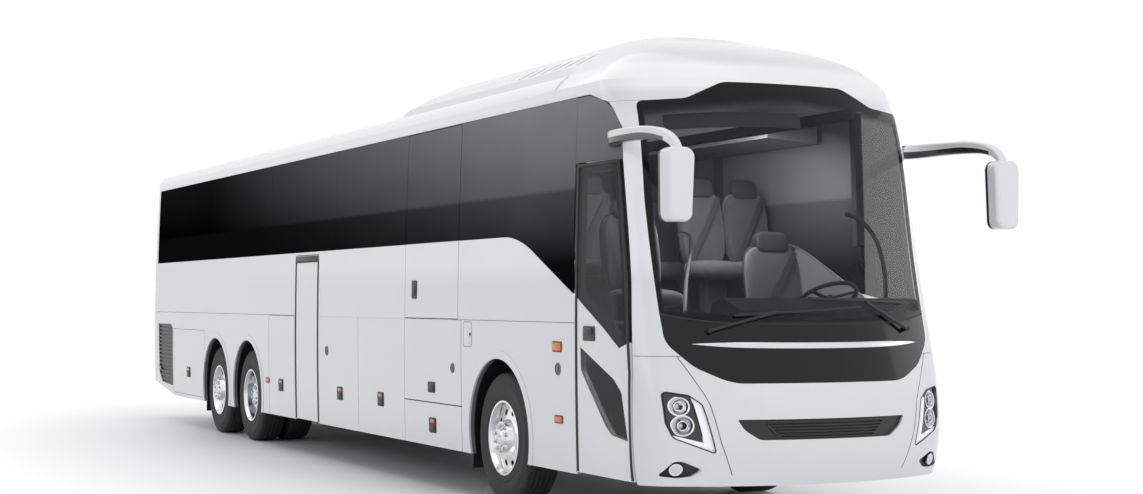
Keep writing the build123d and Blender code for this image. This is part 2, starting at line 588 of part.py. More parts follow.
bay_floor_z = 400
bulkhead = 30
bays = [block((bay_x[0] + bulkhead, bay_x[1] - bulkhead), (-inside_y + 10, inside_y - 10), (bay_floor_z - 30, bay_floor_z)),
        block((bay_x[0], bay_x[0] + bulkhead - seat_gap), (-inside_y + 10, inside_y - 10), (bay_floor_z - 30, deck_z - deck_thick - seat_gap)),
        block((bay_x[1] - bulkhead + seat_gap, bay_x[1]), (-inside_y + 10, inside_y - 10), (bay_floor_z - 30, deck_z - deck_thick - seat_gap))]
bays.append(block((stair_back_x - bulkhead, stair_back_x), (-inside_y + 10, inside_y - 10), (bay_floor_z - 30, deck_z - deck_thick - seat_gap)))
for x in bay_edges[1:3]:
    for y in (-inside_y + 10, inside_y - 60):
        bays.append(block((x - 25, x + 25), (y, y + 50), (bay_floor_z + seat_gap, deck_z - deck_thick - seat_gap)))
save("bay_bulkheads", group(bays))

rail_y, rail_half = 440, 40
rail_z = (660, 780)
front_rail_x = front_door_rear_x - 50
frame = []
for side in (-1, 1):
    y = (side * rail_y - rail_half, side * rail_y + rail_half)
    frame += [block((-11700, stair_back_x - bulkhead - seat_gap), y, rail_z), block((bay_x[1] + seat_gap, front_rail_x), y, rail_z)]
    frame += [block((x - 40, x + 40), y, (rail_z[1] + seat_gap, deck_z - deck_thick - seat_gap)) for x in (-11500, -9500, -8000, -6400, 300)]
    frame += [block((x - 40, x + 40), y, (rail_z[1] + seat_gap, cab_floor_z - deck_thick - seat_gap)) for x in (1300,)]
for x in (-11660, -9450, -6000, 900, front_rail_x - 40):
    frame.append(block((x - 40, x + 40), (-rail_y + rail_half + seat_gap, rail_y - rail_half - seat_gap), (rail_z[0] + 20, rail_z[1] - 20)))
# jacking pads under the rails
for x in (300, -8000):
    frame += [block((x - 40, x + 40), (y - 40, y + 40), (rail_z[0] - 20, rail_z[0] - seat_gap)) for y in (-rail_y, rail_y)]
# air springs stand on the axle beams and carry the rails
spring_radius = 90
for x, z, radius in ((0, tyre_radius - beam_drop, beam_half), (drive_x, tyre_radius, drive_tube), (tag_x, tyre_radius, beam_half)):
    for y in (-rail_y, rail_y):
        spring = rod((x, y, z), (x, y, rail_z[0] - seat_gap), spring_radius)
        frame.append(spring - across(x, z, (-half_width, half_width), radius + seat_gap) - block((x - 200, x + 200), (y - 200, y + 200), (0, z)))
save("underframe", group(frame))
save("engine_block", block((-11600, -9900), (-rail_y + rail_half + seat_gap, rail_y - rail_half - seat_gap), (560, 1330)))

# ---- wheel arch liners and mudflaps
liner_radius = arch_radius + 55
liners = []
wall_space = band((-12000, 1000), (300, 1500), (-100, skin + seat_gap))
for x, inner_y in ((0, 560), (drive_x, 500), (tag_x, 500)):
    ring = across(x, arch_z, (-half_width, -inner_y), liner_radius) - across(x, arch_z, (-half_width - 50, -inner_y - liner), liner_radius - liner)
    ring = ring - wall_space
    ring = ring & block((x - 700, x + 700), (-1300, 0), (420, 1300))
    ring = ring - block((x - 700, x + 700), (-inner_y - liner, -inner_y + 1), (0, 800))
    liners += [ring, other_side(ring)]
front_pair, drive_pair, tag_pair = liners[0:2], liners[2:4], liners[4:6]
middle_x = (drive_x + tag_x) / 2
liners = front_pair + [part & block((middle_x + 2, 0), (-1300, 1300), (0, 1400)) for part in drive_pair]
liners += [part & block((-12000, middle_x - 2), (-1300, 1300), (0, 1400)) for part in tag_pair]
flap_gap = 0.3
flaps = []
for x in (0, tag_x):
    flap = block((x - liner_radius - flap_gap - 8, x - liner_radius - flap_gap), (-1205, -930), (230, 600))
    flaps += [flap, other_side(flap)]
save("wheel_arches", group(liners + flaps))

# ---- wheels: v is how far in from the outer face of the tyre
bead = rim_radius - 8


def spun(outline, x, v0=0):
    "Turns (v, radius) points round the axle at x on the right side."
    points = [(x, -tyre_outer_y + v0 + v, tyre_radius + r) for v, r in outline]
    return revolve(make_face(Polyline(*points, close=True)), axis=Axis((x, 0, tyre_radius), (0, 1, 0)))


def tyre_outline():
    w, r, b = tyre_width, tyre_radius, bead + seat_gap
    return [(20, b), (8, b + 60), (0, b + 130), (8, r - 45), (26, r - 8), (48, r), (w - 48, r), (w - 26, r - 8), (w - 8, r - 45),
            (w, b + 130), (w - 8, b + 60), (w - 20, b)]


def rim(x, outline, hole_v):
    shape = spun(outline, x)
    for i in range(10):
        turn = 2 * pi * i / 10
        cx, cz = x + 212 * cos(turn), tyre_radius + 212 * sin(turn)
        shape = shape - across(cx, cz, (-tyre_outer_y + hole_v[0], -tyre_outer_y + hole_v[1]), 27)
    return shape


barrel_out = [(6, rim_radius), (6, bead - 12), (40, bead - 34)]
plain_rim = [(4, rim_radius), (4, rim_radius - 16), (40, bead - 22), (70, bead - 30), (48, 150), (-12, 130), (-12, 70), (-26, 62), (-26, 0),
             (60, 0), (60, 150), (90, bead - 30), (255, bead - 22), (291, rim_radius - 16), (291, rim_radius), (277, rim_radius), (277, bead),
             (18, bead), (18, rim_radius)]
twin_rim = [(4, rim_radius), (4, rim_radius - 16), (40, bead - 22), (190, bead - 26), (165, 160), (150, 140), (60, 130), (60, 60), (48, 50),
            (48, 0), (300, 0), (300, 140), (200, 160), (214, bead - 30), (594, bead - 22), (626, rim_radius - 16), (626, rim_radius),
            (612, rim_radius), (612, bead), (353, bead), (353, rim_radius), (277, rim_radius), (277, bead), (18, bead), (18, rim_radius)]
for name, x, outline, hole_v in (("front", 0, plain_rim, (20, 110)), ("drive", drive_x, twin_rim, (120, 230)), ("tag", tag_x, plain_rim, (20, 110))):
    wheel = rim(x, outline, hole_v)
    tyres = [spun(tyre_outline(), x)]
    if name == "drive":
        tyres.append(spun(tyre_outline(), x, twin_pitch))
    save(f"rim_{name}_right", wheel)
    save(f"rim_{name}_left", other_side(wheel))
    save(f"tyre_{name}_right", group(tyres))
    save(f"tyre_{name}_left", other_side(group(tyres)))

# ---- axles and knuckles
hub_in = tyre_outer_y - 60
knuckle_z = (tyre_radius - 80, tyre_radius + 80)
ear = 22
knuckle = rod((0, -king_pin_y, knuckle_z[0]), (0, -king_pin_y, knuckle_z[1]), 48)
knuckle = knuckle + across(0, tyre_radius, (-hub_in + seat_gap, -king_pin_y), 42)
save("knuckle_right", knuckle)
save("knuckle_left", other_side(knuckle))
beam = across(0, tyre_radius - beam_drop, (-king_pin_y + 120, king_pin_y - 120), beam_half)
for side in (-1, 1):
    y = sorted((side * (king_pin_y - 130), side * (king_pin_y - 60)))
    beam = beam + block((-beam_half, beam_half), y, (knuckle_z[0] - ear - 40, knuckle_z[1] + ear))
    y = sorted((side * (king_pin_y - 70), side * (king_pin_y + 40)))
    for z in (knuckle_z[0] - seat_gap - ear, knuckle_z[1] + seat_gap):
        beam = beam + block((-40, 40), y, (z, z + ear))
twin_in = tyre_outer_y - 300
drive = across(drive_x, tyre_radius, (-twin_in + seat_gap, twin_in - seat_gap), drive_tube)
drive = drive + Pos(drive_x, 0, tyre_radius) * Sphere(190)
tag = across(tag_x, tyre_radius, (-hub_in + seat_gap, hub_in - seat_gap), beam_half)
save("axle_beams", group([beam, drive, tag]))

# ---- inside
seat_pitch, seat_first_x, seat_rows = 800, 350, 15
seat_y = (300, 1170)
cushion_points = [(-200, 0), (-120, 300), (-220, 470), (250, 490), (250, 400), (60, 0)]
back_points = [(-220, 470.5), (-355, 1180), (-290, 1200), (-235, 1130), (-110, 500), (-118, 475.2)]
seats = []
for i in range(seat_rows):
    x = seat_first_x - i * seat_pitch
    for side in (-1, 1):
        if side < 0 and (mid_door[0] - 380 < x < mid_door[1] + 380 or emergency_door[0] < x < emergency_door[1]):
            continue
        y = sorted((side * seat_y[0], side * seat_y[1]))
        for points, lift in ((cushion_points, seat_gap), (back_points, seat_gap)):
            seats.append(prism([(x + a, deck_z + lift + b) for a, b in points], "y", y[0], y[1]))
save("passenger_seats", group(seats))
racks = []
rack_y = barrel(3040) - post_depth[1] - 2 * seat_gap
rack_points = [(rack_y, 3040), (700, 2960), (690, 2930), (rack_y, 2900)]
rack = prism(rack_points, "x", tail_x + 60, deck_front_x)
racks = [rack, other_side(rack)]
save("luggage_racks", group(racks))
front_seats = []
for x, y, floor in ((1420, 560, cab_floor_z), (1150, -560, 1200)):
    for points, lift in ((cushion_points, seat_gap), (back_points, seat_gap)):
        front_seats.append(prism([(x + a, floor + lift + b) for a, b in points], "y", y - 250, y + 250))
save("front_seats", group(front_seats))
dash = prism([(2330, cab_floor_z + seat_gap), (2900, cab_floor_z + seat_gap), (2900, 1440), (2330, 1640), (2180, 1600), (2150, 1480), (2330, 1380)],
             "y", -560, 1150) & nose(skin + seat_gap)
wheel_centre, column = (1960, 560, 1640), (0.5, 0, -0.866)
steer = Plane(wheel_centre, z_dir=column)
ring = steer * Torus(225, 16)
ring = ring + steer * Pos(0, 0, 20) * Cylinder(45, 50)
for turn in (0, 120, 240):
    ring = ring + steer * Rot(0, 0, turn) * Pos(120, 0, 6) * Box(220, 26, 12)
save("steering_wheel", ring)
hub_end = [c + 45.3 * d for c, d in zip(wheel_centre, column)]
foot = [c + 560 * d for c, d in zip(wheel_centre, column)]
save("dashboard", group([dash, rod(hub_end, foot, 35) - dash]))

# ---- mirrors: an arm that leaves the body side, runs forward and bends down over the head
head_outline = [(-1214, 2620, 70), (-1432, 2620, 62), (-1424, 2132, 60), (-1236, 2132, 60)]
# arm sections: centre, direction, width and height
arm_sections = [((1965, 60 - barrel(2752), 2752), (0, -1, 0), 130, 96), ((2130, -1312, 2755), (0.96, -0.28, 0), 84, 100),
                ((2560, -1338, 2750), (1, 0, -0.03), 80, 92), ((2890, -1332, 2712), (0.93, 0.05, -0.36), 70, 74),
                ((3038, -1322, 2628), (0.5, 0.05, -0.86), 62, 56), ((3066, -1320, 2560), (0.1, 0, -1), 56, 46)]


def arm_face(centre, way, wide, high):
    plane = Plane(centre, x_dir=(way[1], -way[0], 0), z_dir=way)
    return plane * RectangleRounded(wide, high, 18)


nose_seat = nose(-seat_gap)
arm = loft([arm_face(*section) for section in arm_sections]) - nose_seat
head = prism(head_outline, "x", mirror_back_x, mirror_front_x)
head = fillet(head.faces().sort_by(Axis.X)[-1].edges(), 38)
glass_recess = prism([(-1232, 2600, 50), (-1416, 2600, 46), (-1408, 2150, 44), (-1252, 2150, 44)], "x", mirror_back_x - 10, mirror_back_x + 12)
looking = arm + (head - glass_recess)
save("mirrors", group([looking, other_side(looking)]))

# ---- wipers: pivot, elbow and blade ends as (y, z); the blades are strips of the nose's own curve, seated on the glass
wiper_out, blade_out, blade_half = 38, 32, 7
blade_shell = nose(-blade_out) - nose_seat
wipers = []
for pivot, elbow, blade in (((-820, 1415), (-330, 1545), ((-640, 1520), (380, 1580))), ((820, 1420), (420, 1612), ((-60, 1640), (900, 1610)))):
    a, b = [(nose_x(*p) + wiper_out, *p) for p in (pivot, elbow)]
    (y0, z0), (y1, z1) = blade
    strip = prism([(y0, z0 - blade_half), (y1, z1 - blade_half), (y1, z1 + blade_half), (y0, z0 + blade_half)], "x", 2000, 3000)
    foot = rod((a[0] - wiper_out - 20, a[1], a[2]), (a[0] + 10, a[1], a[2]), 16) - nose_seat
    wipers.append(foot + rod(a, b, 12) + (blade_shell & strip))
save("wipers", group(wipers))
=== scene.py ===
import json
import math

import bmesh
import bpy
import numpy as np
from mathutils import Matrix, Vector


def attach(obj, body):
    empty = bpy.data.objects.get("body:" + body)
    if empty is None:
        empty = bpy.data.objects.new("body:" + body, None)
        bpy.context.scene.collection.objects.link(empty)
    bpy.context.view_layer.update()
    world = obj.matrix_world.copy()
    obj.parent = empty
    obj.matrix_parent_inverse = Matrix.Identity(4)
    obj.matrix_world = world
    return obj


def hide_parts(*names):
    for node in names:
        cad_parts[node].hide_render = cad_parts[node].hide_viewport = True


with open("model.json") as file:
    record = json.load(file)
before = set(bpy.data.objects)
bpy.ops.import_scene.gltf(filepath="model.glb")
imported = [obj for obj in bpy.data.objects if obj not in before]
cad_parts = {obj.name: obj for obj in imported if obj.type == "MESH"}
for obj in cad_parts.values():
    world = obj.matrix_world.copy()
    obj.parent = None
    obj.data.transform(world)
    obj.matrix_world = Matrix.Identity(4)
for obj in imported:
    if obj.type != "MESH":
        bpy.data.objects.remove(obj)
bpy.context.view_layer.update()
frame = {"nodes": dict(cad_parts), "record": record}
nodes = frame["nodes"]
print("frame loaded:", len(nodes), "nodes")

# lengths are in metres, x is written from the front axle
axleX = 4.515
body = {"halfWidth": 1.275, "barrelRadius": 34.5, "barrelZ": 1.45, "noseRadius": 2.226, "noseCorner": 0.35}
noseCurve = np.polyfit([0.3, 0.75, 1.5, 2.33, 3.2], [2.745, 2.85, 2.692, 2.508, 2.262], 4)


def sideY(z):
    # half width of the body at height z: w - (R - sqrt(R^2 - (z - z0)^2))
    r = body["barrelRadius"]
    return body["halfWidth"] - (r - np.sqrt(r * r - (np.asarray(z) - body["barrelZ"]) ** 2))


def noseX(y, z):
    # front face at (y, z): centre of the big arc plus sqrt(R^2 - y^2), and the corner arc beyond it
    y, z = np.abs(np.asarray(y, float)), np.asarray(z, float)
    big, small = body["noseRadius"], body["noseCorner"]
    w = sideY(z)
    mid = np.polyval(noseCurve, z) - big
    edge = mid + np.sqrt((big - small) ** 2 - (w - small) ** 2)
    meet = big * (w - small) / (big - small)
    front = mid + np.sqrt(np.maximum(big * big - y * y, 0))
    corner = edge + np.sqrt(np.maximum(small * small - (np.clip(y, 0, w) - (w - small)) ** 2, 0))
    return np.where(y < meet, front, corner)


def corner(w, z):
    # where the side turns into the corner arc, and the arc's radius
    big, small = body["noseRadius"], body["noseCorner"]
    return np.polyval(noseCurve, z) - big + np.sqrt((big - small) ** 2 - (w - small) ** 2), small


def onSide(side):
    # y = w up to the corner arc, then w - r + sqrt(r^2 - (x - e)^2), moved out along the normal
    def place(x, z, out=0.0):
        x, z, out = np.broadcast_arrays(np.asarray(x, float), z, out)
        w = sideY(z)
        edge, small = corner(w, z)
        nx = np.clip((x - edge) / small, 0, 0.99)
        ny = np.sqrt(1 - nx * nx)
        return np.stack([x + out * nx, side * (w - small + (small + out) * ny), z], -1)
    return place


def onFront(y, z, out=0.0):
    # (noseX(y, z), y) moved out along the normal of the big arc or the corner arc
    y, z, out = np.broadcast_arrays(np.asarray(y, float), z, out)
    w, big, small = sideY(z), body["noseRadius"], body["noseCorner"]
    beyond = np.abs(y) > big * (w - small) / (big - small)
    ny = np.where(beyond, (np.abs(y) - (w - small)) / small, np.abs(y) / big).clip(0, 0.99)
    return np.stack([noseX(y, z) + out * np.sqrt(1 - ny * ny), y + out * ny * np.sign(y), z], -1)


class Value:
    # a shader value; arithmetic on it adds Math nodes
    def __init__(self, mat, socket):
        self.mat, self.socket = mat, socket

    def join(self, kind, a, b):
        return self.mat.node("ShaderNodeMath", {0: a, 1: b}, operation=kind)

    def __add__(self, b):
        return self.join("ADD", self, b)

    def __radd__(self, b):
        return self.join("ADD", b, self)

    def __sub__(self, b):
        return self.join("SUBTRACT", self, b)

    def __rsub__(self, b):
        return self.join("SUBTRACT", b, self)

    def __mul__(self, b):
        return self.join("MULTIPLY", self, b)

    def __truediv__(self, b):
        return self.join("DIVIDE", self, b)

    def __pow__(self, b):
        return self.join("POWER", self, b)

    def __abs__(self):
        return self.join("ABSOLUTE", self, 0.0)

    def least(self, b):
        return self.join("MINIMUM", self, b)

    def most(self, b):
        return self.join("MAXIMUM", self, b)

    def sine(self):
        return self.join("SINE", self, 0.0)


class Finish:
    # one material: node() adds any node, the rest are short names for common ones
    def __init__(self, name, color, roughness, **fixed):
        self.material = bpy.data.materials.new(name)
        self.material.use_nodes = True
        self.tree = self.material.node_tree
        self.shader = self.tree.nodes["Principled BSDF"]
        self.set("Base Color", (*color, 1.0))
        self.set("Roughness", roughness)
        for key, value in fixed.items():
            self.set(key.replace("_", " "), value)
        self.place = self.node("ShaderNodeTexCoord", out="Object")

    def node(self, kind, inputs=None, out=0, **props):
        made = self.tree.nodes.new(kind)
        for key, value in props.items():
            setattr(made, key, value)
        for key, value in (inputs or {}).items():
            if isinstance(value, Value):
                self.tree.links.new(value.socket, made.inputs[key])
            else:
                made.inputs[key].default_value = value
        return Value(self, made.outputs[out])

    def set(self, key, value):
        if isinstance(value, Value):
            self.tree.links.new(value.socket, self.shader.inputs[key])
        else:
            self.shader.inputs[key].default_value = value

    def axes(self):
        made = self.tree.nodes.new("ShaderNodeSeparateXYZ")
        self.tree.links.new(self.place.socket, made.inputs[0])
        return [Value(self, made.outputs[i]) for i in range(3)]

    def noise(self, scale, detail=2.0, stretch=(1, 1, 1)):
        at = self.node("ShaderNodeMapping", {"Vector": self.place, "Scale": stretch})
        return self.node("ShaderNodeTexNoise", {"Vector": at, "Scale": scale, "Detail": detail})

    def blend(self, amount, first, second):
        first, second = ((*tone, 1.0) if isinstance(tone, tuple) else tone for tone in (first, second))
        return self.node("ShaderNodeMix", {0: amount, 6: first, 7: second}, out=2, data_type="RGBA")

    def tint(self, amount, first, second):
        self.set("Base Color", self.blend(amount, first, second))

    def bump(self, height, strength, distance):
        relief = {"Height": height, "Strength": strength, "Distance": distance}
        self.set("Normal", self.node("ShaderNodeBump", relief))


def ramp(value, sharp):
    # 0 below the line, 1 above, over 1 / sharp metres
    return (value * sharp + 0.5).most(0.0).least(1.0)


def scaled(color, amount):
    return tuple(min(1.0, c * amount) for c in color)


def speckled(name, color, roughness, scale, spread=0.12, rough=0.06, bump=0.0, **fixed):
    # a plain finish whose colour, gloss and relief vary a little over the surface
    made = Finish(name, color, roughness, **fixed)
    grain = made.noise(scale, 4.0)
    made.tint(grain, scaled(color, 1 - spread), scaled(color, 1 + spread))
    made.set("Roughness", grain * (2 * rough) + (roughness - rough))
    if bump:
        made.bump(made.noise(scale * 12, 3.0), bump, 0.001)
    return made.material


whiteLow, whiteHigh = (0.79, 0.80, 0.81), (0.81, 0.82, 0.83)


def whitePaint():
    # a painted highlight along the roof's edge and a painted reflection band beside the windows, painted
    # shade low down at the back and on the roof
    made = Finish("whitePaint", (0.80, 0.81, 0.82), 0.26, Coat_Weight=0.6, Coat_Roughness=0.06)
    x, y, z = made.axes()
    x = x - axleX
    grain = made.noise(0.8, 4.0)
    # heights of the painted reflection band, the painted highlight on the roof's edge and the painted shade
    # on the roof
    shoulderZ, edgeZ, roofZ = (1.84, 2.9), (3.13, 3.32), 3.36
    near = ((x + 9.0) * 0.11).most(0.0).least(1.0)
    # shoulder: a painted reflection band beside the windows, fading out towards the back
    shoulder = ramp(z - shoulderZ[0], 6.0) * ramp(shoulderZ[1] - z, 4.0) * near
    # edge: a painted highlight along the roof's edge
    edge = ramp(z - edgeZ[0], 12.0) * ramp(edgeZ[1] - z, 12.0)
    # painted shade low down towards the back
    paintedShadeLowBack = (1.0 - near) * ramp(2.4 - z, 2.0) * 0.25
    # light: painted reflection band and highlight, less painted shade low at the back and on the roof above
    # roofZ, plus random grain
    light = (shoulder * 0.62).most(edge) + grain * 0.08 - paintedShadeLowBack - ramp(z - roofZ, 10.0) * 0.3
    # inner faces are grey trim: |y| < w - (z - z0)^2 / 2R - 12 mm, between tail and nose
    wall, twiceR, ceilingZ, tailX, noseEnd = 1.263, 69.0, 3.10, -11.9, 1.93
    within = ramp(wall - (z - body["barrelZ"]) ** 2 / twiceR - abs(y), 200.0)
    ahead = ramp(noseEnd - (z - 2.0).most(0.0) * 0.36 - x, 40.0)
    inner = within * ramp(ceilingZ - z, 50.0) * ahead * ramp(x - tailX, 40.0)
    outside = made.blend(light + 0.25, (0.73, 0.74, 0.75), (0.94, 0.945, 0.95))
    made.tint(inner, outside, (0.17, 0.175, 0.18))
    made.set("Roughness", grain * 0.06 + 0.23)
    made.bump(made.noise(9.6, 3.0), 0.01, 0.001)
    return made.material


def sideGlass():
    # dark tint with a painted reflection of grey sky in its colour, its own reflection turned off: u is 0 at
    # x = -9 and 1 half a metre ahead of the front axle, above the line v = 1 - (top - z) / h * (0.85 - 0.4
    # u), below it u^3 fading down to the sill
    made = Finish("tintedGlassPaintedSky", (0.012, 0.013, 0.014), 0.08, Specular_IOR_Level=0.0)
    x, y, z = made.axes()
    horizonZ, topZ, sillZ, cabX = 2.44, 3.15, 1.9, 1.42
    u = ((x - axleX + 9.0) * 0.105).most(0.0).least(1.0)
    line = ramp(z - horizonZ, 30.0)
    ripple = made.noise(0.9, 3.0, (1, 1, 3)) * 0.3 + 0.85
    # strength of the painted sky reflection above and below the horizon line
    above = (u ** 1.3 * 0.27 + 0.010) * (1.0 - (topZ - z) * 1.45 * (0.85 - u * 0.4)).most(0.0)
    below = (u ** 3.0) * ((z - sillZ) * 1.9).most(0.0) * 0.075 + 0.005
    # the painted reflection of the sky, stronger towards the front
    paintedSkyReflection = (line * above + (1.0 - line) * below) * ripple
    # the driver's own window, left of the cab, is clear
    clear = ramp(x - axleX - cabX, 40.0) * ramp(y, 40.0)
    made.tint(paintedSkyReflection * (1.0 - clear), (0.0, 0.0, 0.0), (1.0, 1.02, 1.03))
    made.set("Alpha", 1.0 - clear * 0.45)
    made.set("Roughness", ripple * 0.05 + 0.05)
    return made.material


def windscreenGlass():
    # black printed border at the sides, foot and head, clear in the middle
    made = Finish("windscreenGlass", (0.02, 0.021, 0.022), 0.03, Specular_IOR_Level=0.2)
    x, y, z = made.axes()
    sideEdge, footEdge, headEdge = 1.06, 1.50, 3.02
    side = ((abs(y) - sideEdge) * 60.0).most(0.0).least(1.0)
    low = ((footEdge + abs(y) * 0.06 - z) * 40.0).most(0.0).least(1.0)
    high = ((z - headEdge + abs(y) * 0.10) * 14.0).most(0.0).least(1.0)
    border = side.most(low).most(high)
    grain = made.noise(3.0, 2.0)
    made.tint(border, (0.035, 0.037, 0.040), (0.007, 0.007, 0.008))
    made.set("Alpha", border * 0.72 + 0.20 + grain * 0.02)
    return made.material


def doorPane():
    # lightly tinted, half clear
    made = Finish("doorGlass", (0.02, 0.021, 0.022), 0.04, Specular_IOR_Level=0.15)
    grain = made.noise(2.0, 2.0)
    made.tint(grain, (0.022, 0.023, 0.025), (0.030, 0.031, 0.033))
    made.set("Alpha", grain * 0.04 + 0.50)
    return made.material


def polishedAlloy():
    made = Finish("polishedAlloy", (0.78, 0.79, 0.80), 0.16, Metallic=1.0)
    streak = made.noise(40.0, 3.0, (1, 8, 1))
    made.set("Roughness", streak * 0.12 + 0.09)
    made.tint(made.noise(5.0), (0.70, 0.71, 0.72), (0.84, 0.85, 0.86))
    made.bump(streak, 0.04, 0.0005)
    return made.material


def seatCloth():
    made = Finish("seatCloth", (0.05, 0.052, 0.058), 0.85, Sheen_Weight=0.25)
    x, y, z = made.axes()
    weave = (x * 1800.0).sine() * (z * 1800.0).sine() * (y * 1800.0).sine()
    tone = made.noise(9.0, 4.0)
    made.tint(tone, (0.030, 0.031, 0.035), (0.075, 0.077, 0.084))
    made.bump(weave + tone * 2.0, 0.25, 0.0008)
    return made.material


def rippled(name, color, roughness, **fixed):
    # lens with fine vertical flutes
    made = Finish(name, color, roughness, **fixed)
    x, y, z = made.axes()
    made.bump((y * 700.0).sine(), 0.15, 0.0008)
    made.tint(made.noise(14.0), scaled(color, 0.85), color)
    return made.material


def doorFinish():
    # white below the slanted glass line, black above it and on the inner face
    made = Finish("doorFinish", (0.80, 0.81, 0.82), 0.24, Coat_Weight=0.7, Coat_Roughness=0.06)
    x, y, z = made.axes()
    x = x - axleX
    # three straight stretches of the line, each z0 + slope * (x - x0) with x from the front axle
    falling = (1.654 - (x - 1.43) * 0.501).least(1.421 - (x - 1.895) * 0.561)
    line = falling.most(1.288 + (x - 2.132) * 0.339)
    innerY = -1.19
    dark = ramp(z - line, 900.0).most(ramp(y - innerY, 400.0))
    grain = made.noise(0.8, 4.0)
    made.tint(dark, made.blend(grain, whiteLow, whiteHigh), (0.012, 0.012, 0.013))
    made.set("Roughness", grain * 0.05 + 0.22)
    return made.material


def mirrorFinish():
    # white on top and in front, black under the arm and behind the head
    made = Finish("mirrorFinish", (0.80, 0.81, 0.82), 0.26, Coat_Weight=0.6, Coat_Roughness=0.08)
    x, y, z = made.axes()
    x = x - axleX
    armZ, armEnd, rootX, headX, headZ = 2.752, 2.93, 2.03, 3.012, 2.62
    line = armZ - ((x - 2.5).most(0.0) ** 2) * 0.30
    arm = ramp(line - z, 300.0) * ramp(armEnd - x, 60.0)
    root = ramp(rootX - x, 200.0)
    head = ramp(headX - x, 600.0) * ramp(headZ - z, 60.0)
    grain = made.noise(1.5, 4.0)
    dark = arm.most(root).most(head)
    made.tint(dark, made.blend(grain, whiteLow, whiteHigh), (0.014, 0.014, 0.015))
    made.set("Roughness", dark * 0.12 + grain * 0.04 + 0.22)
    return made.material


# headlamp bowls (y, z, radius), and tail lamps (z, radius, colour) at tailY on either side
lampBowls = ((1.047, 0.902, 0.060), (1.030, 0.772, 0.066))
tailY = 1.098
tailLamps = ((1.475, 0.062, (0.85, 0.20, 0.01)), (1.335, 0.062, (0.48, 0.012, 0.010)),
             (1.222, 0.034, (0.72, 0.73, 0.75)))


def lampFinish():
    # black housing, two bright bowls with rings in them, and the pale light bar
    made = Finish("lampFinish", (0.02, 0.02, 0.021), 0.12, Coat_Weight=0.5, Coat_Roughness=0.03)
    x, y, z = made.axes()
    y = abs(y)
    away = [((y - bowlY) ** 2 + (z - bowlZ) ** 2) ** 0.5 for bowlY, bowlZ, radius in lampBowls]
    bowl = ramp(lampBowls[0][2] - away[0], 900.0).most(ramp(lampBowls[1][2] - away[1], 900.0))
    # the bar: left of the line from (0.943, 0.92) to (0.875, 0.62), or below the line to (1.088, 0.677)
    side = ramp((0.943 - (0.92 - z) * 0.227) - y + 0.012, 900.0)
    foot = ramp((0.617 + (y - 0.857) * 0.265) - z + 0.030, 900.0)
    bar = side.most(foot)
    ring = ((away[0] * 900.0).sine() + (away[1] * 900.0).sine()) * 0.1 + 0.5
    housing = made.blend(made.noise(30.0), (0.010, 0.010, 0.011), (0.022, 0.022, 0.024))
    reflector = made.blend(ring, (0.35, 0.36, 0.38), (0.62, 0.63, 0.65))
    made.tint(bar, made.blend(bowl, housing, reflector), (0.86, 0.87, 0.88))
    made.set("Metallic", bowl * (1.0 - bar) * 0.9)
    made.set("Roughness", bar * 0.12 + 0.10)
    made.set("Emission Color", made.blend(bar, (0.0, 0.0, 0.0), (0.30, 0.31, 0.32)))
    made.set("Emission Strength", 0.6)
    return made.material


def tailFinish():
    # three lamps in a dark red housing: amber above, red below, clear at the bottom
    made = Finish("tailFinish", (0.20, 0.01, 0.01), 0.14, Coat_Weight=0.6, Coat_Roughness=0.04)
    x, y, z = made.axes()
    away = abs(abs(y) - tailY)
    tone = made.blend(made.noise(20.0), (0.10, 0.006, 0.006), (0.16, 0.010, 0.010))
    for lampZ, radius, shade in tailLamps:
        spot = ramp(radius - (away ** 2 + (z - lampZ) ** 2) ** 0.5, 900.0)
        tone = made.blend(spot, tone, shade)
    made.set("Base Color", tone)
    made.bump((z * 900.0).sine() * (y * 900.0).sine(), 0.12, 0.0008)
    return made.material


def satinMetal(name, color, roughness, scale=30.0):
    made = Finish(name, color, roughness, Metallic=1.0)
    streak = made.noise(scale, 3.0, (1, 6, 1))
    made.set("Roughness", streak * 0.14 + roughness - 0.05)
    made.tint(streak, scaled(color, 0.9), scaled(color, 1.05))
    return made.material


def leather(name, color):
    made = Finish(name, color, 0.5)
    grain = made.noise(260.0, 3.0)
    made.tint(made.noise(7.0), scaled(color, 0.8), scaled(color, 1.15))
    made.set("Roughness", grain * 0.2 + 0.40)
    made.bump(grain, 0.25, 0.0006)
    return made.material


def webbing():
    made = Finish("webbing", (0.03, 0.03, 0.032), 0.7)
    x, y, z = made.axes()
    weave = (x * 2600.0).sine() * (y * 2600.0).sine() + (z * 1800.0).sine() * 0.5
    made.tint(made.noise(40.0), (0.022, 0.022, 0.024), (0.05, 0.05, 0.053))
    made.bump(weave, 0.2, 0.0004)
    return made.material


paint = whitePaint()
glassSide = sideGlass()
glassFront = windscreenGlass()
rubberTyre = speckled("tyreRubber", (0.018, 0.018, 0.019), 0.72, 6.0, spread=0.25, rough=0.08, bump=0.15)
alloy = polishedAlloy()
cloth = seatCloth()
trimBlack = speckled("trimBlack", (0.016, 0.016, 0.017), 0.42, 12.0, spread=0.2, bump=0.2)
glossBlack = speckled("glossBlack", (0.008, 0.008, 0.009), 0.10, 3.0, spread=0.15, rough=0.02,
                      Specular_IOR_Level=0.3)
sealRubber = speckled("sealRubber", (0.012, 0.012, 0.012), 0.62, 18.0, spread=0.2, bump=0.1)
frameSteel = speckled("frameSteel", (0.045, 0.046, 0.048), 0.5, 5.0, spread=0.25, bump=0.2)
deckBoard = speckled("deckBoard", (0.11, 0.11, 0.115), 0.6, 9.0, spread=0.2, bump=0.3)
rackPlastic = speckled("rackPlastic", (0.30, 0.31, 0.32), 0.5, 6.0, spread=0.08, bump=0.1)
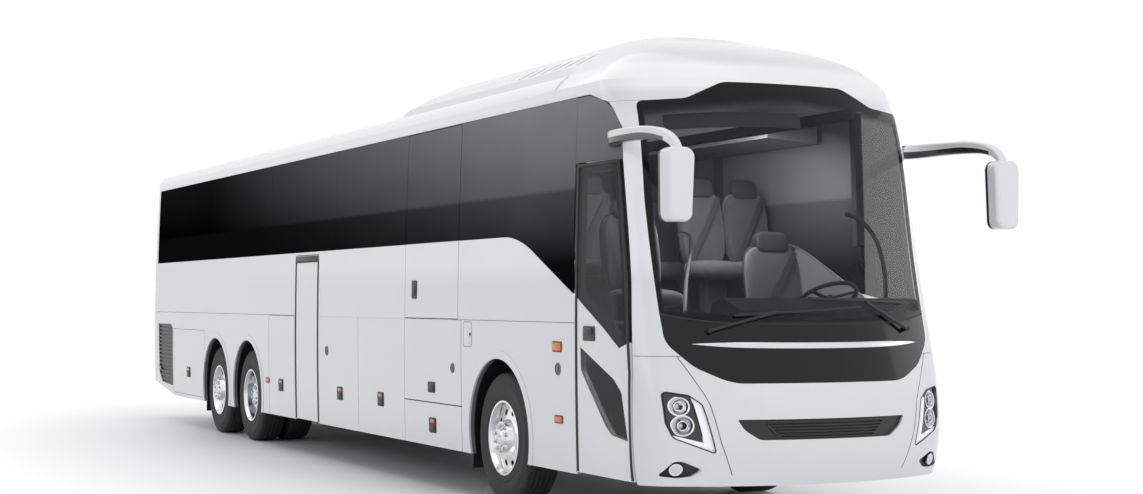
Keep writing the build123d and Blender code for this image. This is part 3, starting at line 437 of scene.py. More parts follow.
lampClear = rippled("lampClear", (0.75, 0.77, 0.80), 0.05, Coat_Weight=0.5)
lampRed = rippled("lampRed", (0.42, 0.015, 0.012), 0.15, Coat_Weight=0.5)
lampAmber = rippled("lampAmber", (0.85, 0.19, 0.01), 0.2, Coat_Weight=0.4)
doorPaint = doorFinish()
mirrorShell = mirrorFinish()
lampHousing = lampFinish()
tailCluster = tailFinish()
glassDoor = doorPane()
mirrorGlass = satinMetal("mirrorGlass", (0.80, 0.82, 0.84), 0.06, 8.0)
alloySatin = satinMetal("alloySatin", (0.74, 0.75, 0.77), 0.22)
nutSteel = satinMetal("nutSteel", (0.66, 0.67, 0.68), 0.20)
wiperBlack = speckled("wiperBlack", (0.012, 0.012, 0.013), 0.45, 25.0, spread=0.2, bump=0.15)
lockGrey = speckled("lockGrey", (0.12, 0.12, 0.125), 0.35, 20.0, spread=0.15, bump=0.1)
plateWhite = speckled("plateWhite", (0.72, 0.73, 0.74), 0.40, 10.0, spread=0.03, bump=0.05)
shellPlastic = speckled("shellPlastic", (0.035, 0.036, 0.038), 0.5, 10.0, spread=0.15, bump=0.25)
seatLeather = leather("seatLeather", (0.028, 0.028, 0.031))
beltWeb = webbing()

# a node takes its own finish where it has one, or else that of its slot
finishes = {"white_paint": paint, "dark_glass": glassSide, "tyre_rubber": rubberTyre, "wheel_alloy": alloy,
            "frame_steel": frameSteel, "deck_board": deckBoard, "seat_cloth": cloth, "lamp_lens": lampClear,
            "tail_lens": lampRed, "black_trim": trimBlack}
special = {"windscreen": glassFront, "nose_panel": glossBlack, "luggage_racks": rackPlastic,
           "front_door": doorPaint, "emergency_glass": glassSide, "front_door_glass": glassDoor,
           "mirrors": mirrorShell, "headlamps": lampHousing, "tail_lamps": tailCluster, "wipers": wiperBlack}
for part in frame["record"]["subparts"]:
    dress = special.get(part["node"], finishes[part["material_slot"]])
    node = nodes[part["node"]]
    for holder in node.material_slots:
        holder.material = dress
    if not node.material_slots:
        node.data.materials.append(dress)
print("finishes on the frame")


def linked(name, data):
    made = bpy.data.objects.new(name, data)
    bpy.context.collection.objects.link(made)
    return made


def newPiece(name, points, faces, material, slotName, bodyName="coach"):
    # points (n, 3) with x from the front axle, faces (m, 4) or (m, 3)
    points = np.asarray(points, float) + (axleX, 0, 0)
    mesh = bpy.data.meshes.new(name)
    mesh.from_pydata(points.tolist(), [], faces.tolist() if isinstance(faces, np.ndarray) else faces)
    shape = bmesh.new()
    shape.from_mesh(mesh)
    bmesh.ops.recalc_face_normals(shape, faces=shape.faces)
    shape.to_mesh(mesh)
    shape.free()
    mesh.polygons.foreach_set("use_smooth", [True] * len(mesh.polygons))
    mesh.set_sharp_from_angle(angle=math.radians(38))
    mesh.materials.append(material)
    mesh.update()
    made = linked(name, mesh)
    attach(made, bodyName)
    return made


def gridFaces(rows, cols, closeRows=False, closeCols=False):
    # quads between neighbours of a rows by cols grid of points
    i = np.arange(rows if closeRows else rows - 1)[:, None]
    j = np.arange(cols if closeCols else cols - 1)[None, :]
    a, b = i * cols + j, i * cols + (j + 1) % cols
    c, d = ((i + 1) % rows) * cols + (j + 1) % cols, ((i + 1) % rows) * cols + j
    return np.stack([a, b, c, d], -1).reshape(-1, 4)


def tubeFaces(rows, cols):
    # the quads of an open tube, and its first and last ring closed by one face each
    ends = [list(range(cols))[::-1], list(range((rows - 1) * cols, rows * cols))]
    return gridFaces(rows, cols, False, True).tolist() + ends


def joined(parts):
    # several (points, faces) as one
    points, faces, base = [], [], 0
    for p, f in parts:
        p = np.asarray(p, float).reshape(-1, 3)
        points.append(p)
        rows = f.tolist() if isinstance(f, np.ndarray) else f
        faces += [[i + base for i in face] for face in rows]
        base += len(p)
    return np.concatenate(points), faces


def spun(profile, centre, turns=64, side=-1):
    # p(t, k) = centre + (r_k cos t, side * v_k, r_k sin t): profile (v, r) turned round the axle
    v, r = np.asarray(profile, float).T
    t = np.linspace(0, 2 * math.pi, turns, endpoint=False)[:, None]
    grid = np.stack([centre[0] + r * np.cos(t), centre[1] + side * v + 0 * t, centre[2] + r * np.sin(t)], -1)
    faces = gridFaces(turns, len(v), closeRows=True)
    return grid.reshape(-1, 3), faces if side < 0 else faces[:, ::-1]


def carried(path, profile, up):
    # p(s, k) = path(s) + a_k * cross(t, up) + b_k * up, t the path's direction
    path, profile = np.asarray(path, float), np.asarray(profile, float)
    up = np.broadcast_to(np.asarray(up, float), path.shape)
    way = np.gradient(path, axis=0)
    way /= np.linalg.norm(way, axis=1, keepdims=True)
    across = np.cross(way, up)
    across /= np.linalg.norm(across, axis=1, keepdims=True)
    lift = np.cross(across, way)
    grid = path[:, None] + profile[None, :, :1] * across[:, None] + profile[None, :, 1:] * lift[:, None]
    return grid.reshape(-1, 3), tubeFaces(len(path), len(profile))


def boxes(centres, sizes):
    # corner = centre + half size * (+-1, +-1, +-1)
    corners = np.array([[x, y, z] for x in (-1, 1) for y in (-1, 1) for z in (-1, 1)], float)
    quads = np.array([[0, 1, 3, 2], [4, 6, 7, 5], [0, 4, 5, 1], [2, 3, 7, 6], [0, 2, 6, 4], [1, 5, 7, 3]])
    centres, sizes = np.atleast_2d(centres), np.broadcast_to(sizes, np.atleast_2d(centres).shape)
    points = centres[:, None] + corners[None] * sizes[:, None] / 2
    faces = quads[None] + 8 * np.arange(len(centres))[:, None, None]
    return points.reshape(-1, 3), faces.reshape(-1, 4)


def rounded(points, steps=5):
    # a corner (a, b, r) becomes the arc c + r (cos t, sin t) between its tangent points
    made = []
    for i, (a, b, *radius) in enumerate(points):
        at = np.array((a, b), float)
        u, v = np.array(points[i - 1][:2]) - at, np.array(points[(i + 1) % len(points)][:2]) - at
        u, v = u / np.linalg.norm(u), v / np.linalg.norm(v)
        if not radius:
            made.append(at[None])
            continue
        half = math.acos(np.clip(u @ v, -1, 1)) / 2
        centre = at + (u + v) / np.linalg.norm(u + v) * radius[0] / math.sin(half)
        part = np.linspace(0, 1, steps)[:, None]
        first, last = (at + w * radius[0] / math.tan(half) - centre for w in (u, v))
        way = first * (1 - part) + last * part
        made.append(centre + radius[0] * way / np.linalg.norm(way, axis=1, keepdims=True))
    return np.concatenate(made)


def frameOf(a, b, radius=0.0):
    # outline of the oblong from a[0] to a[1] and from b[0] to b[1], its corners rounded
    corners = [(a[0], b[0]), (a[1], b[0]), (a[1], b[1]), (a[0], b[1])]
    return rounded([(*c, radius) for c in corners]) if radius else np.array(corners, float)


def circle(a, b, radius, count=24):
    t = np.linspace(0, 2 * math.pi, count, endpoint=False)
    return np.stack([a + radius * np.cos(t), b + radius * np.sin(t)], -1)


def spread(path, spacing, closed=True):
    # the path walked in equal steps of about the spacing
    path = np.asarray(path, float)
    if closed:
        path = np.concatenate([path, path[:1]])
    run = np.concatenate([[0], np.cumsum(np.linalg.norm(np.diff(path, axis=0), axis=1))])
    at = np.union1d(np.linspace(0, run[-1], max(3, int(run[-1] / spacing))), run)
    if closed:
        at = at[:-1]
    return np.stack([np.interp(at, run, path[:, k]) for k in range(path.shape[1])], -1)


def inward(path, closed=True):
    # unit normals of a flat path, to its inside where it is closed
    step = np.roll(path, -1, 0) - np.roll(path, 1, 0) if closed else np.gradient(path, axis=0)
    x, y = path.T
    turn = np.sign(np.sum(x * np.roll(y, -1) - np.roll(x, -1) * y)) if closed else 1
    normal = np.stack([-step[:, 1], step[:, 0]], -1) * turn
    return normal / np.linalg.norm(normal, axis=1, keepdims=True)


def strip(path, place, profile, closed=True):
    # p(s, k) = place(path(s) + a_k n(s), b_k), n the path's normal on the surface
    path, profile = np.asarray(path, float), np.asarray(profile, float)
    normal = inward(path, closed)
    at = path[:, None] + profile[None, :, :1] * normal[:, None]
    points = place(at[..., 0], at[..., 1], np.broadcast_to(profile[None, :, 1], at.shape[:2]))
    if closed:
        return points.reshape(-1, 3), gridFaces(len(path), len(profile), True, True).tolist()
    return points.reshape(-1, 3), tubeFaces(len(path), len(profile))


def bead(width, height, sink=0.002):
    # profile of a rounded strip
    t = np.linspace(0, math.pi, 7)
    arch = np.stack([-width / 2 * np.cos(t), height * np.sin(t) ** 0.7], -1).tolist()
    return [(-width / 2, -sink), *arch, (width / 2, -sink)]


def flat(half, sink, out):
    # profile of a thin flat line
    return [(-half, -sink), (-half, out), (half, out), (half, -sink)]


def plate(path, place, height, bevel=0.002, sink=0.004):
    # rings at (inset, height): the wall, a small bevel, then one face over the top and one under
    path = np.asarray(path, float)
    normal = inward(path)
    rings = [(0, -sink), (0, height - bevel), (bevel * 0.3, height - bevel * 0.3), (bevel, height)]
    points = np.concatenate([place(*(path + normal * inset).T, out) for inset, out in rings])
    return points, tubeFaces(len(rings), len(path))


# camera: focal length and picture width in pixels, angles in radians
camera = {"position": (13.5232, -7.1161, 1.6183), "yaw": 2.6937, "pitch": 0.0292, "roll": -0.0017,
          "focal": 1840.4, "width": 1143}
yaw, pitch = camera["yaw"], camera["pitch"]
ahead = Vector((math.cos(yaw) * math.cos(pitch), math.sin(yaw) * math.cos(pitch), math.sin(pitch)))
rightWay = Vector((math.sin(yaw), -math.cos(yaw), 0))
upWay = rightWay.cross(ahead)
tilt = Matrix.Rotation(camera["roll"], 3, ahead)
rightWay, upWay = tilt @ rightWay, tilt @ upWay
lens = bpy.data.cameras.new("camera")
lens.sensor_width = 36
lens.lens = camera["focal"] / camera["width"] * lens.sensor_width
lens.clip_end = 200
cameraObject = linked("camera", lens)
turn = Matrix((rightWay, upWay, -ahead)).transposed().to_4x4()
x, y, z = camera["position"]
cameraObject.matrix_world = Matrix.Translation((x + axleX, y, z)) @ turn
bpy.context.scene.camera = cameraObject

# sky: the camera, glass and metal see plain white, everything else a softer blue
bpy.context.scene.view_settings.view_transform = "Standard"
bpy.context.scene.view_settings.look = "None"
world = bpy.data.worlds.new("studio")
bpy.context.scene.world = world
world.use_nodes = True
sky = world.node_tree
soft = sky.nodes["Background"]
soft.inputs["Color"].default_value = (0.93, 0.95, 1.0, 1)
soft.inputs["Strength"].default_value = 0.5
plain = sky.nodes.new("ShaderNodeBackground")
plain.inputs["Color"].default_value = (1, 1, 1, 1)
plain.inputs["Strength"].default_value = 1.0
seen = sky.nodes.new("ShaderNodeLightPath")
anyRay = seen.outputs["Is Camera Ray"]
for rayName in ("Is Glossy Ray", "Is Transmission Ray"):
    most = sky.nodes.new("ShaderNodeMath")
    most.operation = "MAXIMUM"
    sky.links.new(anyRay, most.inputs[0])
    sky.links.new(seen.outputs[rayName], most.inputs[1])
    anyRay = most.outputs[0]
mixed = sky.nodes.new("ShaderNodeMixShader")
sky.links.new(anyRay, mixed.inputs[0])
sky.links.new(soft.outputs[0], mixed.inputs[1])
sky.links.new(plain.outputs[0], mixed.inputs[2])
sky.links.new(mixed.outputs[0], sky.nodes["World Output"].inputs[0])


def softLight(name, position, target, size, power):
    light = bpy.data.lights.new(name, "AREA")
    light.shape = "RECTANGLE"
    light.size, light.size_y = size
    light.energy = power
    made = linked(name, light)
    made.location = position
    made.rotation_euler = (Vector(target) - Vector(position)).to_track_quat("-Z", "Y").to_euler()
    return made


softLight("topLight", (0, -1, 12), (0, 0, 1), (24, 9), 400)
softLight("sideLight", (0, -14, 6), (0, 0, 1.5), (24, 5), 330)
softLight("farLight", (0, 14, 6), (0, 0, 1.5), (24, 5), 260)
softLight("frontLight", (19, 1, 7), (6, 0, 1.5), (9, 5), 480).visible_glossy = False
softLight("cabLight", (5.75, -0.1, 2.85), (5.3, 0, 1.2), (1.2, 1.2), 80).visible_glossy = False
softLight("saloonLight", (0.0, 0.0, 3.15), (0.2, 0, 1.2), (0.5, 5.0), 60).visible_glossy = False

# floor: plain white to camera and glossy rays away from the object, outside an ellipse under it
floorPoints, floorFaces = boxes((0, 0, -0.05), (160, 160, 0.1))
floorMesh = bpy.data.meshes.new("floor")
floorMesh.from_pydata(floorPoints.tolist(), [], floorFaces.tolist())
floorFinish = Finish("floorPale", (0.93, 0.93, 0.93), 0.6)
x, y, z = floorFinish.axes()
ellipse = {"x": 9.5, "y": 3.6}
far = (((x / ellipse["x"]) ** 2 + (y / ellipse["y"]) ** 2) ** 0.5 * 1.5 - 0.8).most(0.0).least(1.0)
white = floorFinish.node("ShaderNodeEmission", {"Color": (1, 1, 1, 1), "Strength": 1.0})
cameraRay = floorFinish.node("ShaderNodeLightPath", out="Is Camera Ray")
glossyRay = floorFinish.node("ShaderNodeLightPath", out="Is Glossy Ray")
ownShader = Value(floorFinish, floorFinish.shader.outputs[0])
shown = floorFinish.node("ShaderNodeMixShader", {0: far * cameraRay.most(glossyRay), 1: ownShader, 2: white})
floorFinish.tree.links.new(shown.socket, floorFinish.tree.nodes["Material Output"].inputs[0])
floorMesh.materials.append(floorFinish.material)
floor = linked("floor", floorMesh)
print("camera, light and floor placed")

# tyres: sidewalls, shoulder blocks and four grooves; v runs in from the outer face, r out from the axle
tyre = {"radius": 0.522, "width": 0.295, "outer": 1.225, "twin": 0.335, "groove": 0.009, "depth": 0.013,
        "grooves": (0.083, 0.1255, 0.1695, 0.212), "crown": 0.050, "slots": 64, "slotFrom": 0.0135,
        "slotTo": 0.049, "slotDepth": 0.007}
sidewall = [(0.020, 0.2903), (0.013, 0.298), (0.010, 0.312), (0.0065, 0.326), (0.0065, 0.333),
            (0.003, 0.338), (0.003, 0.352), (0.0055, 0.356), (0.0015, 0.392), (0.0003, 0.418),
            (0.0008, 0.440), (0.0035, 0.443), (0.0035, 0.452), (0.0055, 0.457), (0.010, 0.476),
            (0.0125, 0.488), (0.0145, 0.492), (0.019, 0.504), (0.026, 0.5145), (0.036, 0.5195)]
wheelX = {"front": 0.0, "drive": -7.3, "tag": -8.7}
rightLeft = ((-1, "right"), (1, "left"))
wheels = [(axle, x, side, hand) for axle, x in wheelX.items() for side, hand in rightLeft]


def tyreRing(x, side, shift):
    width, top = tyre["width"], tyre["radius"]
    tread = [(tyre["crown"], top - 0.0008)]
    for middle in tyre["grooves"]:
        half, low = tyre["groove"] / 2, top - tyre["depth"]
        tread += [(middle - half - 0.001, top), (middle - half, top - 0.001), (middle - half + 0.002, low),
                  (middle + half - 0.002, low), (middle + half, top - 0.001), (middle + half + 0.001, top)]
    tread.append((width - tyre["crown"], top - 0.0008))
    back = [(width - v, r) for v, r in sidewall[::-1]]
    v, r = np.array(sidewall + tread + back).T
    turns = tyre["slots"] * 4
    t = np.arange(turns)[:, None] * 2 * math.pi / turns
    # shoulder slots: every fourth row is lower there, measured from either face
    edge = np.minimum(v, width - v)
    across = (edge > tyre["slotFrom"]) & (edge < tyre["slotTo"])
    r = r[None, :] - across[None, :] * (np.arange(turns) % 4 == 0)[:, None] * tyre["slotDepth"]
    y = side * (tyre["outer"] - shift - v) + 0 * t
    grid = np.stack([x + r * np.cos(t), y, top + r * np.sin(t)], -1)
    return grid.reshape(-1, 3), gridFaces(turns, len(v), True, True)


for axle, x, side, hand in wheels:
    shifts = (0.0, tyre["twin"]) if axle == "drive" else (0.0,)
    rings = [tyreRing(x, side, shift) for shift in shifts]
    wheel = f"wheel_{axle}_{hand}"
    skin = newPiece(f"tyre_skin_{axle}_{hand}", *joined(rings), rubberTyre, "tyre_rubber", wheel)
    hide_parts(f"tyre_{axle}_{hand}")
print("tyres")

# wheel nuts with washers, and the caps of the hubs: profiles (v, r), v outwards
hubs = {"front": {"circle": 0.102, "face": -0.012,
                  "cap": [(0.0255, 0.0), (0.030, 0.012), (0.033, 0.040), (0.0255, 0.055)]},
        "drive": {"circle": 0.096, "face": 0.060,
                  "cap": [(-0.047, 0.0), (-0.043, 0.030), (-0.045, 0.046), (-0.051, 0.054)]}}
hubs["tag"] = hubs["front"]
nut = {"count": 10, "radius": 0.0165, "washer": 0.021, "height": 0.022}
rim, r, h = nut["washer"], nut["radius"], nut["height"]
washerProfile = [(-0.001, 0.0), (-0.001, rim), (0.003, rim), (0.004, rim - 0.001), (0.004, 0.0)]
nutProfile = [(0.003, 0.0), (0.003, r), (h - 0.003, r), (h, r * 0.82), (h, 0.008), (h + 0.004, 0.007),
              (h + 0.005, 0.0)]
for axle, x, side, hand in wheels:
    hub = hubs[axle]
    outer = side * (tyre["outer"] - hub["face"])
    parts = []
    for i in range(nut["count"]):
        a = 2 * math.pi * (i + 0.5) / nut["count"]
        at = (x + hub["circle"] * math.cos(a), outer, tyre["radius"] + hub["circle"] * math.sin(a))
        parts += [spun(washerProfile, at, 20, side), spun(nutProfile, at, 6, side)]
    parts.append(spun(hub["cap"], (x, side * tyre["outer"], tyre["radius"]), 40, side))
    newPiece(f"wheel_nuts_{axle}_{hand}", *joined(parts), nutSteel, "wheel_alloy", f"wheel_{axle}_{hand}")
print("hubs")

# rubber seals round the doors, and the bar over the middle door
right, left = onSide(-1), onSide(1)
bothSides = ((right, "right"), (left, "left"))


def trimPiece(name, form, bodyName="coach"):
    newPiece(name, *form, trimBlack, "black_trim", bodyName)


def seal(name, path, spacing, section, bodyName):
    form = strip(spread(path, spacing, False), right, section, False)
    newPiece(name, *form, sealRubber, "black_trim", bodyName)


doorEdge = np.array([(2.317, 0.380), (2.302, 1.12), (2.208, 1.75), (2.051, 2.600)])
seal("mid_door_seal", [(-5.408, 0.374), (-5.408, 2.03), (-4.652, 2.03), (-4.652, 0.374)], 0.06,
     bead(0.038, 0.006), "mid_door")
barForm = plate(frameOf((-5.415, -4.645), (2.030, 2.080), 0.01), right, 0.007)
trimPiece("mid_door_bar", barForm, "mid_door")
seal("front_door_rear_seal", [(1.448, 0.380), (1.448, 2.605)], 0.05, bead(0.034, 0.007), "front_door")
seal("front_door_front_seal", doorEdge - (0.030, 0), 0.05, bead(0.026, 0.006), "front_door")
seal("front_door_top_seal", [(1.45, 2.600), (2.03, 2.600)], 0.05, bead(0.022, 0.006), "front_door")

# thin lines of the fixed service flaps, a closed outline each
flapLines = {"right": [((-6.41, -5.45), (0.357, 1.452)), ((-10.86, -9.22), (0.40, 1.24)),
                       ((-0.715, -0.535), (1.238, 1.442))],
             "left": [((-11.75, -10.9), (0.52, 1.30)), ((-6.41, -4.75), (0.40, 1.24)),
                      ((-10.86, -9.22), (0.40, 1.24))]}
for place, hand in bothSides:
    outlines = [spread(frameOf(a, b, 0.022), 0.08) for a, b in flapLines[hand]]
    lines = [strip(outline, place, flat(0.0022, 0.002, 0.0004)) for outline in outlines]
    newPiece(f"service_seams_{hand}", *joined(lines), sealRubber, "black_trim")
print("seals")

# latches: a rounded black body, a paddle on it and an amber tab above; (x, z, body it rides on)
fixedLatches = [(-10.04, 0.693, "coach"), (-5.95, 0.695, "coach")]
latches = {"right": [(-3.94, 0.698, "flap_right_1"), (-2.75, 0.699, "flap_right_2"),
                     (-1.445, 0.866, "flap_right_3_upper"), (-1.43, 0.537, "flap_right_3_lower")],
           "left": [(-3.94, 0.698, "flap_left_1"), (-2.75, 0.699, "flap_left_2"),
                    (-1.43, 0.698, "flap_left_3")]}
latch = {"wide": 0.155, "high": 0.132, "smallHigh": 0.094, "proud": 0.007, "rim": 0.006, "inset": 0.018}
for place, hand in bothSides:
    for i, (x, z, ridesOn) in enumerate(fixedLatches + latches[hand]):
        small = ridesOn == "flap_right_3_upper"
        w, h = latch["wide"] / 2, latch["smallHigh" if small else "high"] / 2
        low, high, rim, inset = z - h, z + h, latch["rim"], latch["inset"]
        paddle = frameOf((x - w + inset, x + w - inset), (low + 0.014, low + 0.070), 0.009)
        edge = spread(frameOf((x - w + rim, x + w - rim), (low + rim, high - rim), 0.01), 0.03)
        black = [plate(frameOf((x - w, x + w), (low, high), 0.014), place, latch["proud"]),
                 plate(paddle, place, 0.013, 0.004), strip(edge, place, bead(0.004, 0.0092))]
        trimPiece(f"latch_{hand}_{i}", joined(black), ridesOn)
        if not small:
            tab = frameOf((x - w + 0.030, x + w - 0.030), (high - 0.044, high - 0.016), 0.006)
            tab = plate(tab, place, 0.011, 0.003)
            newPiece(f"latch_tab_{hand}_{i}", *tab, lampAmber, "tail_lens", ridesOn)

# side marker lamps, (x, z, width, height) each
markers = [(1.12, 1.277, 0.150, 0.062), (1.14, 0.738, 0.130, 0.044), (-6.46, 0.73, 0.130, 0.042),
           (-11.62, 0.70, 0.13, 0.04)]
for place, hand in bothSides:
    lenses, rims = [], []
    for x, z, w, h in markers:
        w, h = w / 2, h / 2
        lenses.append(plate(frameOf((x - w, x + w), (z - h, z + h), 0.009), place, 0.011, 0.004))
        w, h = w + 0.004, h + 0.004
        edge = spread(frameOf((x - w, x + w), (z - h, z + h), 0.012), 0.02)
        rims.append(strip(edge, place, bead(0.010, 0.0055)))
    newPiece(f"marker_lamps_{hand}", *joined(lenses), lampAmber, "tail_lens")
    trimPiece(f"marker_rims_{hand}", joined(rims))


def lockParts(x, z, radius, place):
    ring = strip(circle(x, z, radius), place, bead(0.010, 0.006))
    disc = plate(circle(x, z, radius - 0.006), place, 0.003, 0.001)
    knob = plate(circle(x, z, radius * 0.42, 16), place, 0.008, 0.003)
    return [ring, disc, knob]


# round locks, (x, z, radius, body it rides on), the filler flap and its small lock
upperFlap = {"right": "flap_right_3_upper", "left": "flap_left_3"}
filler = {"x": (-0.709, -0.541), "z": (1.244, 1.436), "lock": (-0.565, 1.34, 0.011)}
for place, hand in bothSides:
    locks = [(-4.35, 1.11, 0.045, f"flap_{hand}_1"), (-0.957, 1.048, 0.038, upperFlap[hand]),
             (1.134, 1.111, 0.043, "coach")]
    for i, (x, z, radius, ridesOn) in enumerate(locks):
        newPiece(f"lock_{hand}_{i}", *joined(lockParts(x, z, radius, place)), lockGrey, "black_trim", ridesOn)
    lid = plate(frameOf(filler["x"], filler["z"], 0.016), place, 0.0018, 0.001)
    newPiece(f"filler_flap_{hand}", *lid, paint, "white_paint")
    trimPiece(f"filler_lock_{hand}", joined(lockParts(*filler["lock"], place)))

# door handles: a flat body and a grip on it
emergencyHandle = [plate(frameOf((-1.92, -1.805), (1.634, 1.797), 0.014), right, 0.008, 0.003),
                   plate(frameOf((-1.898, -1.827), (1.660, 1.745), 0.012), right, 0.014, 0.005)]
trimPiece("emergency_handle", joined(emergencyHandle), "emergency_door")
frontHandle = [plate(frameOf((1.57, 1.755), (1.33, 1.437), 0.016), right, 0.008, 0.003),
               plate(frameOf((1.595, 1.730), (1.372, 1.424), 0.012), right, 0.018, 0.006)]
trimPiece("front_door_handle", joined(frontHandle), "front_door")
print("side fittings")

# front: bright strip over the black panel, headlamp rings and edges, fog lamps
frontStrip = {"foot": 1.292, "head": 1.332, "reach": 0.93, "taper": 6, "out": 0.006, "rise": 0.012,
              "steps": 80}


def stripOnFront():
    # its half height falls off as 1 - (y / reach)^taper and its middle rises with (y / reach)^2
    reach, out, steps = frontStrip["reach"], frontStrip["out"], frontStrip["steps"]
    y = np.linspace(-reach, reach, steps)[:, None]
    fall = 1 - np.abs(y / reach) ** frontStrip["taper"]
    half = (frontStrip["head"] - frontStrip["foot"]) / 2 * np.maximum(fall, 0.02)
    middle = (frontStrip["foot"] + frontStrip["head"]) / 2 + frontStrip["rise"] * np.abs(y / reach) ** 2
    side = out * 0.6
    section = np.array([(-1, -0.003), (-1, side), (-0.86, out), (0.86, out), (1, side), (1, -0.003)])
    points = onFront(y, middle + half * section[None, :, 0], section[None, :, 1])
    return points.reshape(-1, 3), tubeFaces(steps, len(section))


newPiece("front_strip", *stripOnFront(), alloySatin, "wheel_alloy")
lampOutline = [(-1.145, 1.004, 0.025), (-0.985, 0.978, 0.03), (-0.903, 0.916, 0.06), (-0.817, 0.582, 0.012),
               (-1.089, 0.690, 0.07), (-1.130, 0.790, 0.08)]
fogLamp = {"y": -1.057, "z": 0.472, "radius": 0.036}


def hoop(halfFoot, half, foot, shoulder, top):
    # section of a ring, (across, out): a foot, two shoulders and a crown between them
    return [(-halfFoot, foot), (-half, shoulder), (0.0, top), (half, shoulder), (halfFoot, foot)]


for side, hand in ((1, "right"), (-1, "left")):
    def onLamp(y, z, out=0.0, side=side):
        return onFront(side * np.asarray(y), z, out)
    rings = []
    for y, z, radius in lampBowls:
        outer, inner = circle(-y, z, radius + 0.002, 40), circle(-y, z, 0.030, 32)
        rings.append(strip(outer, onLamp, hoop(0.004, 0.005, -0.022, -0.011, -0.008)))
        rings.append(strip(inner, onLamp, hoop(0.003, 0.003, -0.022, -0.008, -0.006)))
    newPiece(f"lamp_rings_{hand}", *joined(rings), alloy, "wheel_alloy")
    edge = spread(rounded(lampOutline), 0.02)
    trimPiece(f"lamp_edge_{hand}", strip(edge, onLamp, flat(-0.004, 0.004, 0.0008)))
    y, z, radius = fogLamp["y"], fogLamp["z"], fogLamp["radius"]
    fogRing = strip(circle(y, z, radius, 32), onLamp, hoop(0.004, 0.005, -0.016, -0.005, -0.003))
    newPiece(f"fog_ring_{hand}", *fogRing, alloy, "wheel_alloy")
    fogLens = plate(circle(y, z, radius - 0.004, 28), onLamp, -0.005, 0.002, 0.010)
    newPiece(f"fog_lens_{hand}", *fogLens, lampClear, "lamp_lens")
print("front")

# seams from the screen's lower corners down past the lamps, and the line between screen and panel
cornerSeam = np.array([(1.029, 1.239), (0.95, 1.102), (0.886, 0.985), (0.855, 0.92), (0.79, 0.66),
                       (0.735, 0.52), (0.698, 0.434)])
footSeam = {"reach": 1.10, "z": 1.458, "rise": 0.05, "steps": 60}
lines = []
for side in (-1, 1):
    seam = spread(cornerSeam * (side, 1), 0.03, False)
    lines.append(strip(seam, onFront, flat(0.0024, 0.003, 0.0006), False))
footY = np.linspace(-footSeam["reach"], footSeam["reach"], footSeam["steps"])
footPath = np.stack([footY, footSeam["z"] + footSeam["rise"] * footY ** 4], -1)
lines.append(strip(footPath, onFront, flat(0.0056, 0.003, 0.0006), False))
newPiece("front_seams", *joined(lines), sealRubber, "black_trim")

# mirror glass in the recess at the back of each head
mirrorX = 2.9965
mainGlass = [(1.245, 2.588, 0.045), (1.402, 2.588, 0.042), (1.397, 2.345, 0.02), (1.252, 2.345, 0.02)]
wideGlass = [(1.253, 2.325, 0.02), (1.396, 2.325, 0.02), (1.392, 2.165, 0.04), (1.264, 2.165, 0.04)]
for side, hand in rightLeft:
    def behindHead(y, z, out=0.0, side=side):
        y, z, out = np.broadcast_arrays(np.asarray(y, float), z, out)
        return np.stack([mirrorX - out, side * y, z], -1)
    panes = [plate(rounded(corners), behindHead, 0.003, 0.002) for corners in (mainGlass, wideGlass)]
    newPiece(f"mirror_glass_{hand}", *joined(panes), mirrorGlass, "wheel_alloy")
print("mirrors")

tail = {"x": -12.15, "radius": 9.0, "halfWidth": 1.272, "corner": 0.17,
        "leanFrom": 1.5, "lean": 0.06, "leanHigh": 1.7}


def onRear(y, z, out=0.0):
    # x = tail + r - sqrt(r^2 - y^2), leaning forward above 1.5 m, and a small arc at each corner
    y, z, out = np.broadcast_arrays(np.asarray(y, float), z, out)
    r, c = tail["radius"], tail["corner"]
    leaning = np.maximum(z - tail["leanFrom"], 0) * tail["lean"] / tail["leanHigh"]
    x = tail["x"] + leaning + r - np.sqrt(r * r - y * y)
    bend = np.clip((np.abs(y) - (tail["halfWidth"] - c)) / c, 0, 0.99)
    x = x + c * (1 - np.sqrt(1 - bend ** 2))
    return np.stack([x - out, y, z], -1)


# rear: lamp bezels, reflectors, the edge of the window and the high stop lamp
bezels, reflectors = [], []
for side in (-1, 1):
    for z, radius, shade in tailLamps:
        bezels.append(strip(circle(side * tailY, z, radius, 36), onRear, bead(0.012, 0.006)))
    middle = side * 1.07
    reflector = frameOf((middle - 0.05, middle + 0.05), (0.60, 0.645), 0.008)
    reflectors.append(plate(reflector, onRear, 0.006, 0.002))
trimPiece("tail_lamp_rings", joined(bezels))
newPiece("rear_reflectors", *joined(reflectors), lampRed, "tail_lens")


def onLid(y, z, out=0.0):
    # the lid lies 2 mm inside the tail's surface
    return onRear(y, z, np.asarray(out) - 0.002)


# on the engine lid: a blank plate in its holder and a handle
holder = plate(frameOf((-0.27, 0.27), (0.665, 0.785), 0.01), onLid, 0.008, 0.002)
trimPiece("plate_holder", holder, "engine_lid")
blank = plate(frameOf((-0.26, 0.26), (0.672, 0.778), 0.008), onLid, 0.0105, 0.001)
newPiece("plate_blank", *blank, plateWhite, "white_paint", "engine_lid")
lidHandle = plate(frameOf((-0.09, 0.09), (1.255, 1.30), 0.012), onLid, 0.012, 0.004)
trimPiece("lid_handle", lidHandle, "engine_lid")
windowEdge = strip(spread(frameOf((-1.02, 1.02), (2.22, 2.98), 0.05), 0.05), onRear, bead(0.03, 0.002))
newPiece("rear_window_edge", *windowEdge, sealRubber, "black_trim")
stopLamp = plate(frameOf((-0.22, 0.22), (3.03, 3.06), 0.008), onRear, 0.008, 0.002)
newPiece("stop_lamp_high", *stopLamp, lampRed, "tail_lens")
print("rear")


# seats: crowned cushions and backs, each a closed form
def power(v, e):
    return np.sign(v) * np.abs(v) ** e


